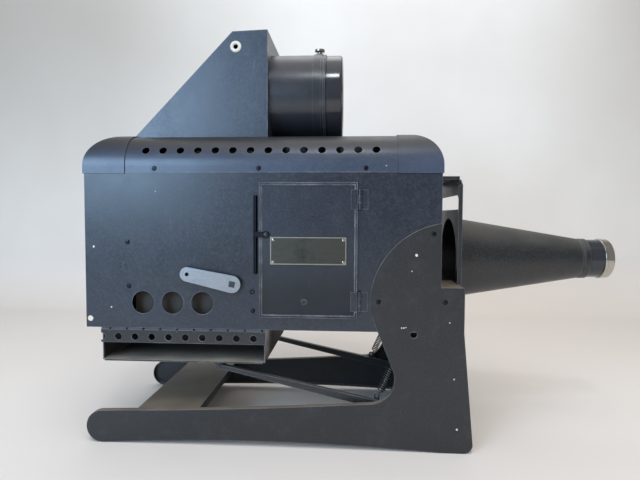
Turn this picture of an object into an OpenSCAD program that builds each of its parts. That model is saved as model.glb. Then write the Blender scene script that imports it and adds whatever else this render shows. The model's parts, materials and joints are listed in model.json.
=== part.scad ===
// Combination lantern projector: a sheet-metal lamp casing on two side plates, with a
// periscope hood for opaque copy, a slide stage with a long cone, and a sprung copy platen.
// X runs from the rear of the casing to the slide lens, Z is up, and the middle plane is Y = 0
// before the whole part is moved so that the middle of its underside is the origin.

/* [Sheet] */
// Thickness of the casing, cover and hood sheet
sheet = 1.2; // [0.8:0.1:1.8]
// Thickness of the two stand side plates
plate_t = 1.5; // [1:0.1:2.4]
// Running clearance round a turning shaft or a sliding barrel
run_gap = 0.05; // [0.03:0.01:0.1]
// Gap between a moving sheet and a fixed one
sheet_gap = 0.3; // [0.2:0.05:0.6]

/* [Casing] */
// Length of the casing along X
casing_l = 500; // [480:5:520]
// Width of the casing across Y
casing_w = 249.4; // [235:1:262]
// Height of the casing, up to the cover's seam
casing_h = 219.8; // [210:1:232]
// Height of the casing's underside above the table
base_h = 167.2; // [160:1:180]
// Width of the inward flange round the top of the casing
rim_w = 12; // [6:1:16]
// Diameter of the air holes low in the side walls
air_d = 32; // [20:0.5:34]
// Distance between the air holes
air_pitch = 42.6; // [38:0.5:46]
// Distance from the rear of the casing to the first air hole
air_x = 83.3; // [70:1:95]
// Height of the air holes above the casing's underside
air_z = 36.5; // [28:0.5:45]

/* [Cover] */
// Height of the cover's straight skirt
skirt_h = 9; // [5:0.5:14]
// Radius of the cover's long edges and round ends
cover_r = 46; // [36:1:52]
// Length of each end cap
cap_l = 59; // [56:1:70]
// How far an end cap stands proud of the middle of the cover
cap_proud = 1.6; // [1.3:0.1:2.2]
// How far the middle of the cover runs on under each end cap
cap_lap = 8; // [4:1:10]
// Number of vent holes along each side
vent_count = 14; // [8:1:14]
// Diameter of a vent hole
vent_d = 11; // [7:0.5:14]
// Distance between vent holes
vent_pitch = 24.85; // [20:0.1:25]
// Distance from the rear of the casing to the first vent hole
vent_x = 87.6; // [80:1:90]
// Angle of the vent holes on the round edge, above level
vent_angle = 28.5; // [20:1:45]
// Distance between the screws of the cover's skirt
cover_screw_pitch = 147.4; // [130:0.2:150]
// Distance of the end screws from the middle plane
cap_screw_y = 88; // [70:1:95]

/* [Hood] */
// Half of the hood's width
hood_half_w = 74.2; // [70:0.5:78]
// Height of the hood above the flat of the cover
hood_h = 155; // [150:1:170]
// Length of the hood's flat top
hood_top_l = 52; // [40:1:60]
// Rise of the hood's flat top towards its front
hood_lift = 1.8; // [0:0.2:4]
// Distance from the rear of the casing to the hood's front face
hood_front_x = 253; // [248:1:262]
// Distance from the rear of the casing to the foot of the hood's slope
hood_foot_x = 51; // [48:1:56]
// Thickness of the mirror under the slope
mirror_t = 5; // [3:0.5:8]
// Outer diameter of the eyelet in the near cheek
eyelet_d = 16.8; // [10:0.5:18]

/* [Opaque lens] */
// Outer radius of the opaque tube
tube_r = 67; // [64:0.5:68]
// Wall of the opaque tube
tube_wall = 2; // [1.2:0.1:3]
// Length of the tube in front of the hood
tube_l = 80; // [70:1:95]
// Height of the tube's axis above the flat of the cover
tube_z = 71.5; // [70:0.5:76]
// Width of the bead at the mouth of the tube
tube_bead_l = 4; // [3:0.5:6]
// Length of the lens barrel's rim in front of the tube
ring_l = 24; // [18:1:30]
// Length of the sliding barrel inside the tube
barrel_in_l = 74; // [60:1:76]
// Wall of the lens barrel
barrel_wall = 5; // [3:0.5:8]
// Radius of the clamp screw's knurled head
thumb_r = 8; // [6:0.5:9]

/* [Slide stage] */
// Half of the stage plate's width
stage_half_w = 95; // [90:1:100]
// Height of the slide lens axis above the casing's underside
axis_h = 94.7; // [90:1:98]
// Depth of the stage plate's folded edges
stage_flange = 6; // [4:0.5:10]
// How far the stage plate's top lies below the cover's seam
stage_drop = 7.3; // [6.8:0.1:12]
// Half width of the finger window above the cone
window_half_w = 75; // [60:1:82]
// Height of the finger window
window_h = 21; // [16:1:28]
// Radius of the finger window's upper corners
window_r = 14; // [8:1:18]
// Sheet left between the cone's hole and the finger window
window_rise = 13; // [8:0.5:16]
// Half width of the light gate cut in the shelf
gate_half_w = 46; // [42:1:50]

/* [Slide lens] */
// Outer radius of the cone where it meets the stage plate
cone_r1 = 63.7; // [60:0.1:66]
// Outer radius of the cone at its nose
cone_r2 = 31; // [29:0.5:34]
// Length of the cone
cone_l = 196.5; // [180:0.5:210]
// Wall of the cone
cone_wall = 1.5; // [1:0.1:2]
// Length of the straight nose at the end of the cone
nose_l = 12; // [8:1:18]
// Outer radius of the slide lens barrel's visible part
slide_r = 29.5; // [28:0.5:30]
// Length of the black part of the barrel in front of the nose
slide_black_l = 20; // [14:1:26]
// Outer radius of the bright bezel
bezel_r = 31.2; // [30:0.2:33]
// Length of the bright bezel
bezel_l = 15; // [10:1:18]
// Length of the barrel inside the nose
slide_in_l = 60; // [50:1:70]

/* [Stand] */
// Radius of the rails' round rear ends
rail_r = 23.4; // [20:0.2:26]
// Distance from the rear of the casing to the centre of a rail's round end
rail_x = 21.2; // [18:1:30]
// Rise of the rail's top edge from its rear end to the upright
rail_rise = 19.5; // [14:0.5:22]
// Radius of the hollow corner between rail and upright
crook_r = 35; // [30:1:38]
// Gap between the door's hinged edge and the stand's clasp
clasp_gap = 17.5; // [16.5:0.5:24]
// Radius of the quarter round that clasps the casing
clasp_r = 114; // [105:1:118]
// Reach of the foot's toe in front of the casing
toe_reach = 46.5; // [42:0.5:50]
// Reach of the shelf in front of the casing
shelf_reach = 32; // [31:0.5:36]
// Height of the shelf above the casing's underside
shelf_h = 62.8; // [56:0.5:68]
// Rise of the arch under each side plate
arch_rise = 8.5; // [4:0.5:12]
// Depth of the folded rim round each side plate
rim_d = 9; // [6:0.5:12]
// Length of the tie plate between the rails
tie_l = 92; // [80:1:110]
// Distance from the rear of the casing to the tie plate
tie_x = 68; // [60:1:90]

/* [Door] */
// Width of the door
door_w = 135.5; // [125:0.5:137]
// Height of the door
door_h = 187.5; // [170:0.5:190]
// Distance from the rear of the casing to the door's free edge
door_x = 250; // [249:0.5:256]
// Height of the door's lower edge above the casing's underside
door_z = 18.3; // [14:0.5:24]
// How far the doorway is smaller than the door on every side
door_lap = 5.5; // [4:0.5:9]
// Width of the door's rolled bead
bead_w = 3.4; // [2:0.2:5]
// Height of the door's rolled bead
bead_h = 1.8; // [1:0.1:2.4]
// Length of each hinge
hinge_l = 27; // [20:0.5:32]
// Radius of the hinge knuckles
knuckle_r = 2.6; // [2.2:0.1:3.2]
// Radius of the hinge pins
pin_r = 1.4; // [1:0.1:1.6]
// Length of the bare name plate
badge_l = 106; // [90:1:108]
// Height of the bare name plate
badge_h = 39; // [30:1:42]
// Height of the name plate's lower edge above the door's
badge_rise = 73.6; // [60:0.1:80]
// Height of the latch above the door's lower edge
latch_rise = 115.5; // [100:0.5:125]

/* [Mirror lever] */
// Distance between the two holes of the lever
lever_c = 64.4; // [55:0.5:70]
// Radius of the lever's hub end
lever_r1 = 12.2; // [10:0.2:14]
// Radius of the lever's free end
lever_r2 = 10.1; // [8:0.2:11]
// Thickness of the lever
lever_t = 3; // [2:0.2:4]
// Radius of the lever's shaft
shaft_r = 6; // [5:0.2:7]
// Side of the shaft's square end
square_a = 7.6; // [6.5:0.2:8]
// Angle of the lever above level
lever_angle = 11.8; // [5:0.5:20]
// Length of the reflecting shutter
shutter_l = 78; // [60:1:80]

/* [Platen] */
// Distance from the rear of the casing to the copy skirt
skirt_x = 16; // [12:1:24]
// Length of the copy skirt
skirt_l = 241; // [225:1:244]
// Half width of the copy skirt
skirt_half_w = 115; // [105:1:118]
// Depth of the copy skirt below the casing
skirt_d = 24; // [18:0.5:28]
// Height of the tabs folded inward along the top of the copy skirt
skirt_fold = 5.5; // [4:0.5:8]
// Number of holes in each side of the copy skirt
skirt_holes = 9; // [6:1:9]
// Distance between the holes of the copy skirt
skirt_pitch = 24.7; // [22:0.1:25]
// Diameter of the holes in the copy skirt
skirt_hole_d = 10; // [7:0.5:12]
// Distance from the rear of the copy skirt to its first whole hole
skirt_first = 25.7; // [20:0.1:30]
// Depth of the platen pan below the casing
pan_d = 50; // [46:0.5:54]
// How far the arms' rear pivot lies below the pan
pan_pivot_drop = 6.9; // [6.5:0.1:9]
// Distance from the rear of the casing to the pan's arm pivot
pan_pivot_x = 188; // [180:1:200]
// Distance from the rear of the casing to the arms' fixed pivot
arm_pivot_x = 470; // [462:1:478]
// Height of the arms' fixed pivot above the table
arm_pivot_z = 48; // [44:0.5:52]
// Width of an arm
arm_w = 8; // [7:0.5:9]
// Distance of an arm from the middle plane
arm_y = 107.5; // [104:0.5:108]
// Height of an arm at its rear end
arm_h0 = 6; // [5:0.5:8]
// Height of an arm at its fixed pivot
arm_h1 = 13; // [11:0.5:16]
// Outer radius of a platen spring
spring_r = 5.6; // [4.6:0.2:6]

/* [Hidden] */
$fn = 48;

fine = 96;                                   // facets of the large rounds
joint = 0.02;                                // overlap that fuses solids of one piece
casing_y = casing_w / 2;                     // outer face of the casing's side walls
seam_z = base_h + casing_h;
cover_h = skirt_h + cover_r;
cover_z = seam_z + cover_h;                  // flat top of the cover
axis_z = base_h + axis_h;                    // slide lens axis
opaque_z = cover_z + tube_z;                 // opaque lens axis
stand_y = casing_y + plate_t;                // outer face of the stand's side plates
shelf_z = base_h + shelf_h;
shelf_x = casing_l + shelf_reach;
stage_x = shelf_x + plate_t;                 // front face of the stage plate
nose_end_x = stage_x + cone_l + nose_l;
bezel_x = nose_end_x + sheet_gap + slide_black_l;
tip_x = bezel_x + bezel_l;
tube_end_x = hood_front_x + tube_l;
ring_x = tube_end_x + tube_bead_l + 1;
lever_x = 212.8;                             // shaft of the mirror lever, from the casing's rear
lever_z = base_h + 64.7;
lever_off = 6;                               // lever's distance from the casing wall
lever_y = casing_y + lever_off;
screw_h = 1.2;                               // height of a round screw head
screw_r = 3.4;                               // radius of a round screw head
near_reach = lever_y + lever_t + 1.2;        // the shaft's end stands out furthest on the near side
far_reach = stand_y + screw_h;
rear_reach = rail_x - rail_r;
mid_x = (rear_reach + tip_x) / 2;
mid_y = (far_reach - near_reach) / 2;

// Moves a piece from the casing's frame to the part's frame.
module place() translate([-mid_x, -mid_y, 0]) children();
// Extrudes an outline drawn in X and Z from one Y to another.
module along_y(y0, y1) translate([0, y1, 0]) rotate([90, 0, 0]) linear_extrude(y1 - y0) children();
// Extrudes an outline drawn in Y and Z from one X to another.
module along_x(x0, x1) translate([x0, 0, 0]) rotate([90, 0, 90]) linear_extrude(x1 - x0) children();
// Turns a profile drawn as radius and length round an axis along X.
module turn_x(x, z, n = fine) translate([x, 0, z]) rotate([0, 90, 0]) rotate_extrude($fn = n) children();
// A cylinder along Y.
module rod_y(x, z, r, y0, y1, n = 32)
    translate([x, y1, z]) rotate([90, 0, 0]) cylinder(r = r, h = y1 - y0, $fn = n);
// A cylinder along X.
module rod_x(x0, x1, y, z, r, n = 32)
    translate([x0, y, z]) rotate([0, 90, 0]) cylinder(r = r, h = x1 - x0, $fn = n);
// A box given by its low and high corners.
module box(a, b) translate(a) cube(b - a);
// A round-headed screw whose head rises along -Y from a wall at y.
module side_screw(x, y, z, s = 1) translate([x, y, z]) rotate([s > 0 ? 90 : -90, 0, 0])
    rotate_extrude($fn = 20) polygon([[0, 0], [screw_r, 0], [screw_r * 0.82, screw_h * 0.7],
        [screw_r * 0.4, screw_h], [0, screw_h]]);

// ---- Stand ----
lean = 21.7;                                 // lean of the upright's rear edge
toe_r = 13;                                  // radius of the foot's front corner
foot_l = 42;                                 // length of the flat foot behind the toe
toe_x = casing_l + toe_reach;
crook_x = door_x + door_w + clasp_gap;       // centre of the hollow corner
clasp_x = crook_x + clasp_r;
clasp_z = base_h + 37.8;
rail_run = crook_x - rail_x;
rail_slope = atan(1.5 * rail_rise / rail_run);
crook_z = 2 * rail_r + rail_rise + crook_r * cos(rail_slope);
plate_in = stand_y - plate_t;                // inner face of the side plates

function arc(x, z, r, a0, a1, n) =
    [for (i = [0:n]) let(a = a0 + (a1 - a0) * i / n) [x + r * cos(a), z + r * sin(a)]];
// Top of a rail at x.
function rail_top(x) = let(t = (x - rail_x) / rail_run) 2 * rail_r + rail_rise * (t + t * t) / 2;
// How far along the leaning edge it meets the clasp's round, for an inset d.
function lean_run(d) = let(
    px = crook_x + (crook_r + d) * cos(lean) - clasp_x,
    pz = crook_z + (crook_r + d) * sin(lean) - clasp_z,
    b = -px * sin(lean) + pz * cos(lean))
    -b + sqrt(b * b - px * px - pz * pz + pow(clasp_r - d, 2));
function lean_end(d) = let(t = lean_run(d)) [
    crook_x + (crook_r + d) * cos(lean) - t * sin(lean),
    crook_z + (crook_r + d) * sin(lean) + t * cos(lean)];

// Outline of a side plate in X and Z, drawn in by d.
module stand_outline(d = 0) {
    arch_l = casing_l + toe_reach - foot_l - rail_x;
    clasp_top = acos((casing_l - d - clasp_x) / (clasp_r - d));
    meet = lean_end(d);
    meet_a = 360 + atan2(meet[1] - clasp_z, meet[0] - clasp_x);
    polygon(concat(
        [for (i = [1:12]) let(t = i / 12) [rail_x + arch_l * t, d + 4 * arch_rise * t * (1 - t)]],
        arc(toe_x - toe_r - 0.5, toe_r, toe_r - d, 270, 354, 8),
        [[shelf_x - d, base_h], [shelf_x - d, shelf_z - d - 2], [shelf_x - d - 2, shelf_z - d]],
        [[casing_l - d, shelf_z - d]],
        arc(clasp_x, clasp_z, clasp_r - d, clasp_top, meet_a > 300 ? meet_a - 360 : meet_a, 20),
        arc(crook_x, crook_z, crook_r + d, lean, rail_slope - 90, 16),
        [for (i = [9:-1:1]) let(x = rail_x + rail_run * i / 10) [x, rail_top(x) - d]],
        arc(rail_x, rail_r, rail_r - d, 90, 270, 20)));
}

// Plain hole below the casing, halfway between the hollow corner and the front.
stand_hole = [crook_x + 0.47 * (shelf_x - crook_x), base_h - 2.7];
stand_hole_r = 4.5;
// Two screws stand this far inside the clasp's round, and the third below the shelf's front corner.
screw_inset = 12;
screw_back = 11.115;                         // from the casing's front to the first of the two
shelf_screw = [26.3, 20];
stand_screw_at = [
    for (a = [acos((casing_l - screw_back - clasp_x) / (clasp_r - screw_inset)), 177.6])
        [clasp_x, clasp_z] + (clasp_r - screw_inset) * [cos(a), sin(a)],
    [shelf_x, shelf_z] - shelf_screw];

// A side plate with its folded rim; s is -1 on the near side and 1 on the far side.
module stand_plate(s) {
    y0 = s > 0 ? plate_in : -stand_y;
    r0 = s > 0 ? stand_y - rim_d : -stand_y;
    difference() {
        union() {
            along_y(y0, y0 + plate_t) stand_outline();
            along_y(r0, r0 + rim_d) intersection() {
                difference() {
                    stand_outline();
                    stand_outline(plate_t);
                }
                translate([rear_reach - 1, -1]) square([casing_l - 2 - rear_reach, base_h + 1 - sheet_gap]);
            }
        }
        rod_y(stand_hole[0], stand_hole[1], stand_hole_r, y0 - 1, y0 + plate_t + 1);
    }
}
module stand_plate_near() color("#3c434c") place() stand_plate(-1);
module stand_plate_far() color("#3c434c") place() stand_plate(1);

// A channel that ties the two rails under their rims.
module stand_tie_plate() color("#4a4d50") place() {
    drop = plate_t + 0.6;
    lip = 12;
    x1 = tie_x + tie_l;
    z0 = rail_top(tie_x) - drop;
    z1 = rail_top(x1) - drop;
    along_y(-plate_in, plate_in) polygon([[tie_x, z0 - lip], [tie_x + plate_t, z0 - lip],
        [tie_x + plate_t, z0 - plate_t], [x1 - plate_t, z1 - plate_t], [x1 - plate_t, z1 - lip],
        [x1, z1 - lip], [x1, z1], [tie_x, z0]]);
}

// Shelf, front wall and foot strip of the stand, folded from one sheet between the side plates.
// The shelf has a gate for the light, and the front wall a round cut behind the cone.
module stand_front_cover() color("#3c434c") place() difference() {
    along_y(-plate_in, plate_in) intersection() {
        difference() {
            stand_outline();
            stand_outline(plate_t);
        }
        translate([casing_l + sheet_gap, 0]) square([toe_reach, shelf_z + 1]);
    }
    box([casing_l, -gate_half_w, shelf_z - plate_t - 1], [stage_x, gate_half_w, shelf_z + 1]);
    rod_x(shelf_x - plate_t - 1, stage_x, 0, axis_z, cone_r1 - cone_wall, fine);
}

module stand_screws() color("#2c3036") place() for (p = stand_screw_at) {
    side_screw(p[0], -stand_y, p[1]);
    side_screw(p[0], stand_y, p[1], -1);
}

// ---- Platen linkage ----
arm_shaft_r = 5;
arm_boss_r = 10;                             // radius of an arm's end round the fixed pivot
arm_eye_r = 5.2;                             // radius of an arm's end round the pan's rod
pan_rod_r = 2.8;
boss_l = 7;
anchor_r = 4.2;                              // radius of a spring stud's foot

fold_z = base_h - skirt_fold;                // fold line of the copy skirt's tabs
pan_z = base_h - pan_d;                      // underside of the pan
pan_pivot_z = pan_z - pan_pivot_drop;

// Height of an arm's top at x.
function arm_top(x) = let(t = (x - pan_pivot_x) / (arm_pivot_x - pan_pivot_x))
    pan_pivot_z + arm_h0 / 2 + t * (arm_pivot_z + arm_h1 / 2 - pan_pivot_z - arm_h0 / 2);
spring_x = arm_pivot_x - 55;
spring_foot = [spring_x, arm_top(spring_x) + 6];             // eye on the arm
spring_top = [crook_x + crook_r + 1.5, crook_z + 20];        // stud that carries a platen spring

module both_sides() {
    children();
    mirror([0, 1, 0]) children();
}

module arm_shaft() color("#5a5f63") place()
    rod_y(arm_pivot_x, arm_pivot_z, arm_shaft_r, -plate_in + 1, plate_in - 1);

// Bosses on the inner faces of the side plates that hold the ends of the arm shaft.
module arm_shaft_bosses() color("#3c434c") place() both_sides() difference() {
    rod_y(arm_pivot_x, arm_pivot_z, 11, -plate_in, -plate_in + boss_l);
    rod_y(arm_pivot_x, arm_pivot_z, arm_shaft_r + run_gap, -plate_in + 1 - sheet_gap, -plate_in + boss_l + 1);
}

// Studs that carry the upper ends of the platen springs.
module spring_anchors() color("#4a4d50") place() both_sides() {
    rod_y(spring_top[0], spring_top[1], 2.5, -plate_in, -arm_y + 5);
    rod_y(spring_top[0], spring_top[1], anchor_r, -plate_in, -plate_in + 4);
    rod_y(spring_top[0], spring_top[1], 3.6, -arm_y + 3.4, -arm_y + 5);
}

// Side view of an arm, drawn in by d.
module arm_outline(d = 0) {
    h0 = arm_h0 / 2 - d;
    h1 = arm_h1 / 2 - d;
    polygon([[pan_pivot_x, pan_pivot_z - h0], [arm_pivot_x, arm_pivot_z - h1],
        [arm_pivot_x, arm_pivot_z + h1], [pan_pivot_x, pan_pivot_z + h0]]);
    translate([pan_pivot_x, pan_pivot_z]) circle(r = arm_eye_r - d);
    translate([arm_pivot_x, arm_pivot_z]) circle(r = arm_boss_r - d);
}

// One sprung arm: a tapered channel, open underneath, with an eye for its spring.
module platen_arm() {
    w = arm_w / 2;
    t = 1.4;
    eye_r = 4.2;
    difference() {
        union() {
            along_y(-arm_y - w, -arm_y + w) arm_outline();
            along_y(-arm_y - 1, -arm_y + 1) translate(spring_foot) {
                circle(r = eye_r, $fn = 32);
                translate([-eye_r, -8]) square([2 * eye_r, 8]);
            }
        }
        along_y(-arm_y - w + t, -arm_y + w - t) for (drop = [0, 2 * t, 8])
            translate([0, -drop]) arm_outline(t);
        rod_y(pan_pivot_x, pan_pivot_z, pan_rod_r, -arm_y - w - 1, -arm_y + w + 1);
        rod_y(arm_pivot_x, arm_pivot_z, arm_shaft_r + run_gap, -arm_y - w - 1, -arm_y + w + 1);
        rod_y(spring_foot[0], spring_foot[1], 2, -arm_y - 2, -arm_y + 2, 24);
    }
}
module platen_arms() color("#454b54") place() both_sides() platen_arm();

module platen_pivot_rod() color("#5a5f63") place() {
    reach = arm_y + arm_w / 2 + 2;
    rod_y(pan_pivot_x, pan_pivot_z, pan_rod_r, -reach, reach);
}

// Shallow pan that carries the copy: a floor with two end walls and two ears below.
module platen_pan() color("#55534f") place() {
    x0 = skirt_x + 1.5;
    x1 = skirt_x + skirt_l - sheet;
    floor_y = skirt_half_w + 1;
    wall_y = skirt_half_w - sheet - 2 * sheet_gap;
    top = base_h - sheet - sheet_gap;
    lip = 1;
    chamfer = floor_y - wall_y + 1;
    ear_y = arm_y - arm_w / 2 - 1;
    translate([0, 0, pan_z]) linear_extrude(plate_t) polygon([[x0, -floor_y + chamfer],
        [x0 + chamfer, -floor_y], [x1 - chamfer, -floor_y], [x1, -floor_y + chamfer],
        [x1, floor_y - chamfer], [x1 - chamfer, floor_y], [x0 + chamfer, floor_y], [x0, floor_y - chamfer]]);
    for (x = [x0, x1 - plate_t]) along_x(x, x + plate_t) polygon([[-wall_y, pan_z], [wall_y, pan_z],
        [wall_y, fold_z - sheet], [wall_y - skirt_fold, top], [-wall_y + skirt_fold, top],
        [-wall_y, fold_z - sheet]]);
    both_sides() {
        box([x0 + chamfer, -floor_y, pan_z - lip], [x1 - chamfer, -floor_y + plate_t, pan_z + joint]);
        difference() {
            union() {
                rod_y(pan_pivot_x, pan_pivot_z, pan_rod_r + 3, -ear_y, -ear_y + plate_t);
                box([pan_pivot_x - 9, -ear_y, pan_pivot_z],
                    [pan_pivot_x + 9, -ear_y + plate_t, pan_z + joint]);
            }
            rod_y(pan_pivot_x, pan_pivot_z, pan_rod_r + run_gap, -ear_y - 1, -ear_y + plate_t + 1);
        }
    }
}

// Closed-coil extension spring between the arm's eye and the stud, with a loop at each end.
module platen_spring() {
    run = spring_top - spring_foot;
    length = norm(run);
    wire = 1.1;
    pitch = 2 * wire;
    eye_r = 2.9;
    stud_loop_r = 4;
    coil_0 = 2 * eye_r + wire + 0.4;
    coils = floor((length - stud_loop_r - 3 * wire - coil_0) / pitch);
    coil_1 = coil_0 + coils * pitch;
    translate([spring_foot[0], -arm_y, spring_foot[1]]) rotate([0, atan2(run[0], run[1]), 0]) {
        translate([0, 0, coil_0]) rotate_extrude($fn = 32) polygon(concat([[0, 0]],
            [for (i = [0:coils - 1], q = [[-0.7, 0], [0, 0.5], [0, pitch - 0.5]])
                [spring_r + q[0], i * pitch + q[1]]],
            [[spring_r - 0.7, coils * pitch], [0, coils * pitch]]));
        translate([0, 0, eye_r]) rotate([0, 90, 0]) rotate_extrude($fn = 32) translate([eye_r, 0])
            circle(r = wire, $fn = 16);
        translate([0, 0, 2 * eye_r]) cylinder(r = wire, h = coil_0 - 2 * eye_r + joint, $fn = 16);
        translate([0, 0, length - 0.3]) rotate([90, 0, 0]) rotate_extrude($fn = 32)
            translate([stud_loop_r, 0]) circle(r = wire, $fn = 16);
        translate([0, 0, coil_1 - joint])
            cylinder(r = wire, h = length - 0.3 - stud_loop_r - coil_1, $fn = 16);
    }
}
module platen_spring_near() color("#2b2d30") place() platen_spring();
module platen_spring_far() color("#2b2d30") place() mirror([0, 1, 0]) platen_spring();

// ---- Casing ----
doorway = [[door_x + door_lap, base_h + door_z + door_lap],
    [door_x + door_w - door_lap, base_h + door_z + door_h - door_lap]];
bush_r = 9;
cell_r = 56;                                 // outer radius of the condenser cell
air_at = [for (i = [0:2]) air_x + i * air_pitch];
inlet_x = 335;
inlet_z = base_h + 34;
inlet_r = 13;

// Open-topped box with a doorway, air holes, a copy opening below and the condenser's hole in front.
module casing_shell() color("#3f4854") place() difference() {
    box([0, -casing_y, base_h], [casing_l, casing_y, seam_z]);
    box([sheet, -casing_y + sheet, base_h + sheet], [casing_l - sheet, casing_y - sheet, seam_z - sheet]);
    box([rim_w, -casing_y + rim_w, seam_z - sheet - 1], [casing_l - rim_w, casing_y - rim_w, seam_z + 1]);
    box([skirt_x + 9, -skirt_half_w + 10, base_h - 1],
        [skirt_x + skirt_l - 9, skirt_half_w - 10, base_h + sheet + 1]);
    box([doorway[0][0], -casing_y - 1, doorway[0][1]], [doorway[1][0], -casing_y + sheet + 1, doorway[1][1]]);
    for (x = air_at) rod_y(x, base_h + air_z, air_d / 2 - 0.01, -casing_y - 1, casing_y + 1, fine);
    rod_y(lever_x, lever_z, bush_r, -casing_y - 1, casing_y + 1);
    rod_y(inlet_x, inlet_z, inlet_r, casing_y - sheet - 1, casing_y + 1);
    rod_x(casing_l - sheet - 1, casing_l + 1, 0, axis_z, cell_r, fine);
}

baffle_rivets = [[62, 121.9], [63.2, 59.6]]; // from the casing's rear and underside
door_rivet = [door_x - 9.6, base_h + 26.8];
door_ring = [door_x - 10.2, base_h + 53.5];
module casing_rivets() color("#2c3036") place() {
    for (p = baffle_rivets) side_screw(p[0], -casing_y, base_h + p[1]);
    side_screw(door_rivet[0], -casing_y, door_rivet[1]);
    translate([door_ring[0], -casing_y, door_ring[1]]) rotate([90, 0, 0]) rotate_extrude($fn = 24)
        translate([1.8, 0]) square([1.8, 0.8]);
}

// Light traps that stand on the casing's floor behind the air holes.
module air_hole_baffles() color("#35393f") place() both_sides() {
    x0 = air_x - 18;
    x1 = air_at[2] + 22;
    y0 = -skirt_half_w + 8;
    z0 = base_h + sheet;
    box([x0, y0, z0], [x1, y0 + sheet, z0 + air_z + air_d / 2 + 6]);
    box([x0, y0 - 8, z0], [x1, y0 + joint, z0 + sheet]);
}

// Perforated strips beside the copy opening, with V-notched tabs folded in under the casing.
module copy_skirt() color("#40474f") place() {
    z0 = base_h - skirt_d;
    lean_y = skirt_fold - sheet;             // how far a tab leans inward below its flange
    flange = 6;
    y1 = -skirt_half_w + lean_y;
    notch = 2.6;
    x1 = skirt_x + skirt_l;
    both_sides() difference() {
        along_x(skirt_x, x1) polygon([[-skirt_half_w, z0], [-skirt_half_w + sheet, z0],
            [-skirt_half_w + sheet, fold_z - sheet / 2], [y1 + sheet / 2, base_h - sheet],
            [y1 + flange, base_h - sheet], [y1 + flange, base_h], [y1, base_h], [-skirt_half_w, fold_z]]);
        for (i = [-1:skirt_holes - 1]) {
            x = skirt_x + skirt_first + i * skirt_pitch;
            hole_z = z0 + skirt_hole_d / 2 + 3.4;
            rod_y(x, hole_z, skirt_hole_d / 2, -skirt_half_w - 1, -skirt_half_w + sheet + 1);
            along_y(-skirt_half_w - 1, y1 + sheet) translate([x + skirt_pitch / 2, 0])
                polygon([[-notch, base_h - sheet], [0, fold_z - 2], [notch, base_h - sheet]]);
        }
    }
}

// ---- Cover ----
// Section of the cover in Y and Z, drawn in by d and standing on the seam.
module bonnet(d = 0) {
    w = casing_y - d;
    translate([-w, seam_z]) square([2 * w, skirt_h]);
    for (s = [-1, 1]) translate([s * (casing_y - cover_r), seam_z + skirt_h])
        circle(r = cover_r - d, $fn = fine);
    translate([-casing_y + cover_r, seam_z]) square([casing_w - 2 * cover_r, cover_h - d]);
}
// The bonnet without what its rounds reach below the seam.
module bonnet_cut(d = 0) intersection() {
    bonnet(d);
    translate([-casing_w, seam_z]) square([2 * casing_w, cover_h + 10]);
}

module cover_centre() color("#4b5057") place() {
    x0 = cap_l - cap_lap;
    x1 = casing_l - cap_l + cap_lap;
    vent_y = casing_y - cover_r;
    difference() {
        along_x(x0, x1) bonnet_cut();
        along_x(x0 - 1, x1 + 1) translate([0, -0.01]) bonnet_cut(sheet);
        box([x0 - 1, -casing_y + sheet, seam_z - 1], [x1 + 1, casing_y - sheet, seam_z + 1]);
        box([cap_l + 26, -hood_half_w + 12, cover_z - sheet - 1],
            [hood_front_x - 14, hood_half_w - 12, cover_z + 1]);
        for (i = [0:vent_count - 1], s = [-1, 1])
            translate([vent_x + i * vent_pitch, s * vent_y, seam_z + skirt_h])
                rotate([-s * (90 - vent_angle), 0, 0]) translate([0, 0, cover_r - 8])
                    cylinder(d = vent_d, h = 16, $fn = 24);
    }
}

// Round-ended block in the rear end's place, drawn in by d, from drop below the seam and as far as x1.
module cap_body(d, drop, x1) intersection() {
    along_x(-cap_proud - 1, x1) union() {
        bonnet_cut(d);
        translate([-casing_y + d, seam_z - drop]) square([casing_w - 2 * d, drop + 1]);
    }
    along_y(-casing_w, casing_w) union() {
        translate([d, seam_z - drop]) square([casing_l, drop + skirt_h]);
        translate([cover_r, seam_z + skirt_h]) circle(r = cover_r - d, $fn = fine);
        translate([cover_r, seam_z]) square([casing_l, cover_h - d]);
    }
}
module cover_cap() difference() {
    cap_body(-cap_proud, 1.5, cap_l);
    cap_body(-sheet_gap, 3, cap_l + 1);
}
module cover_cap_rear() color("#454b53") place() cover_cap();
module cover_cap_front() color("#454b53") place() translate([casing_l, 0, 0]) mirror([1, 0, 0]) cover_cap();

module cover_screws() color("#2c3036") place() {
    z = seam_z + 5.3;
    middle = casing_l / 2 - 0.9;
    for (i = [-1:1]) {
        side_screw(middle + i * cover_screw_pitch, -casing_y, z);
        side_screw(middle + i * cover_screw_pitch, casing_y, z, -1);
    }
    for (y = [-cap_screw_y, cap_screw_y]) {
        translate([casing_l + cap_proud, y, z - 2]) rotate([0, 0, 90]) side_screw(0, 0, 0);
        translate([-cap_proud, y, z - 2]) rotate([0, 0, -90]) side_screw(0, 0, 0);
    }
}

// ---- Hood ----
slope_run = hood_front_x - hood_top_l - hood_foot_x;
slope_len = norm([slope_run, hood_h]);
slope_a = atan2(hood_h, slope_run);
function slope_x(z, d = 0) = hood_foot_x + (z - cover_z) * slope_run / hood_h + d * slope_len / hood_h;

// Side view of the hood, drawn in by d.
module hood_outline(d = 0) {
    step_z = cover_z + cap_proud + sheet_gap;
    step_x = cap_l + sheet_gap;
    top = cover_z + hood_h - d;
    polygon([[slope_x(step_z, d), step_z], [step_x + 2 * d, step_z], [step_x + 2 * d, cover_z - d],
        [hood_front_x - d, cover_z - d], [hood_front_x - d, top + hood_lift], [slope_x(top, d), top]]);
}

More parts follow.
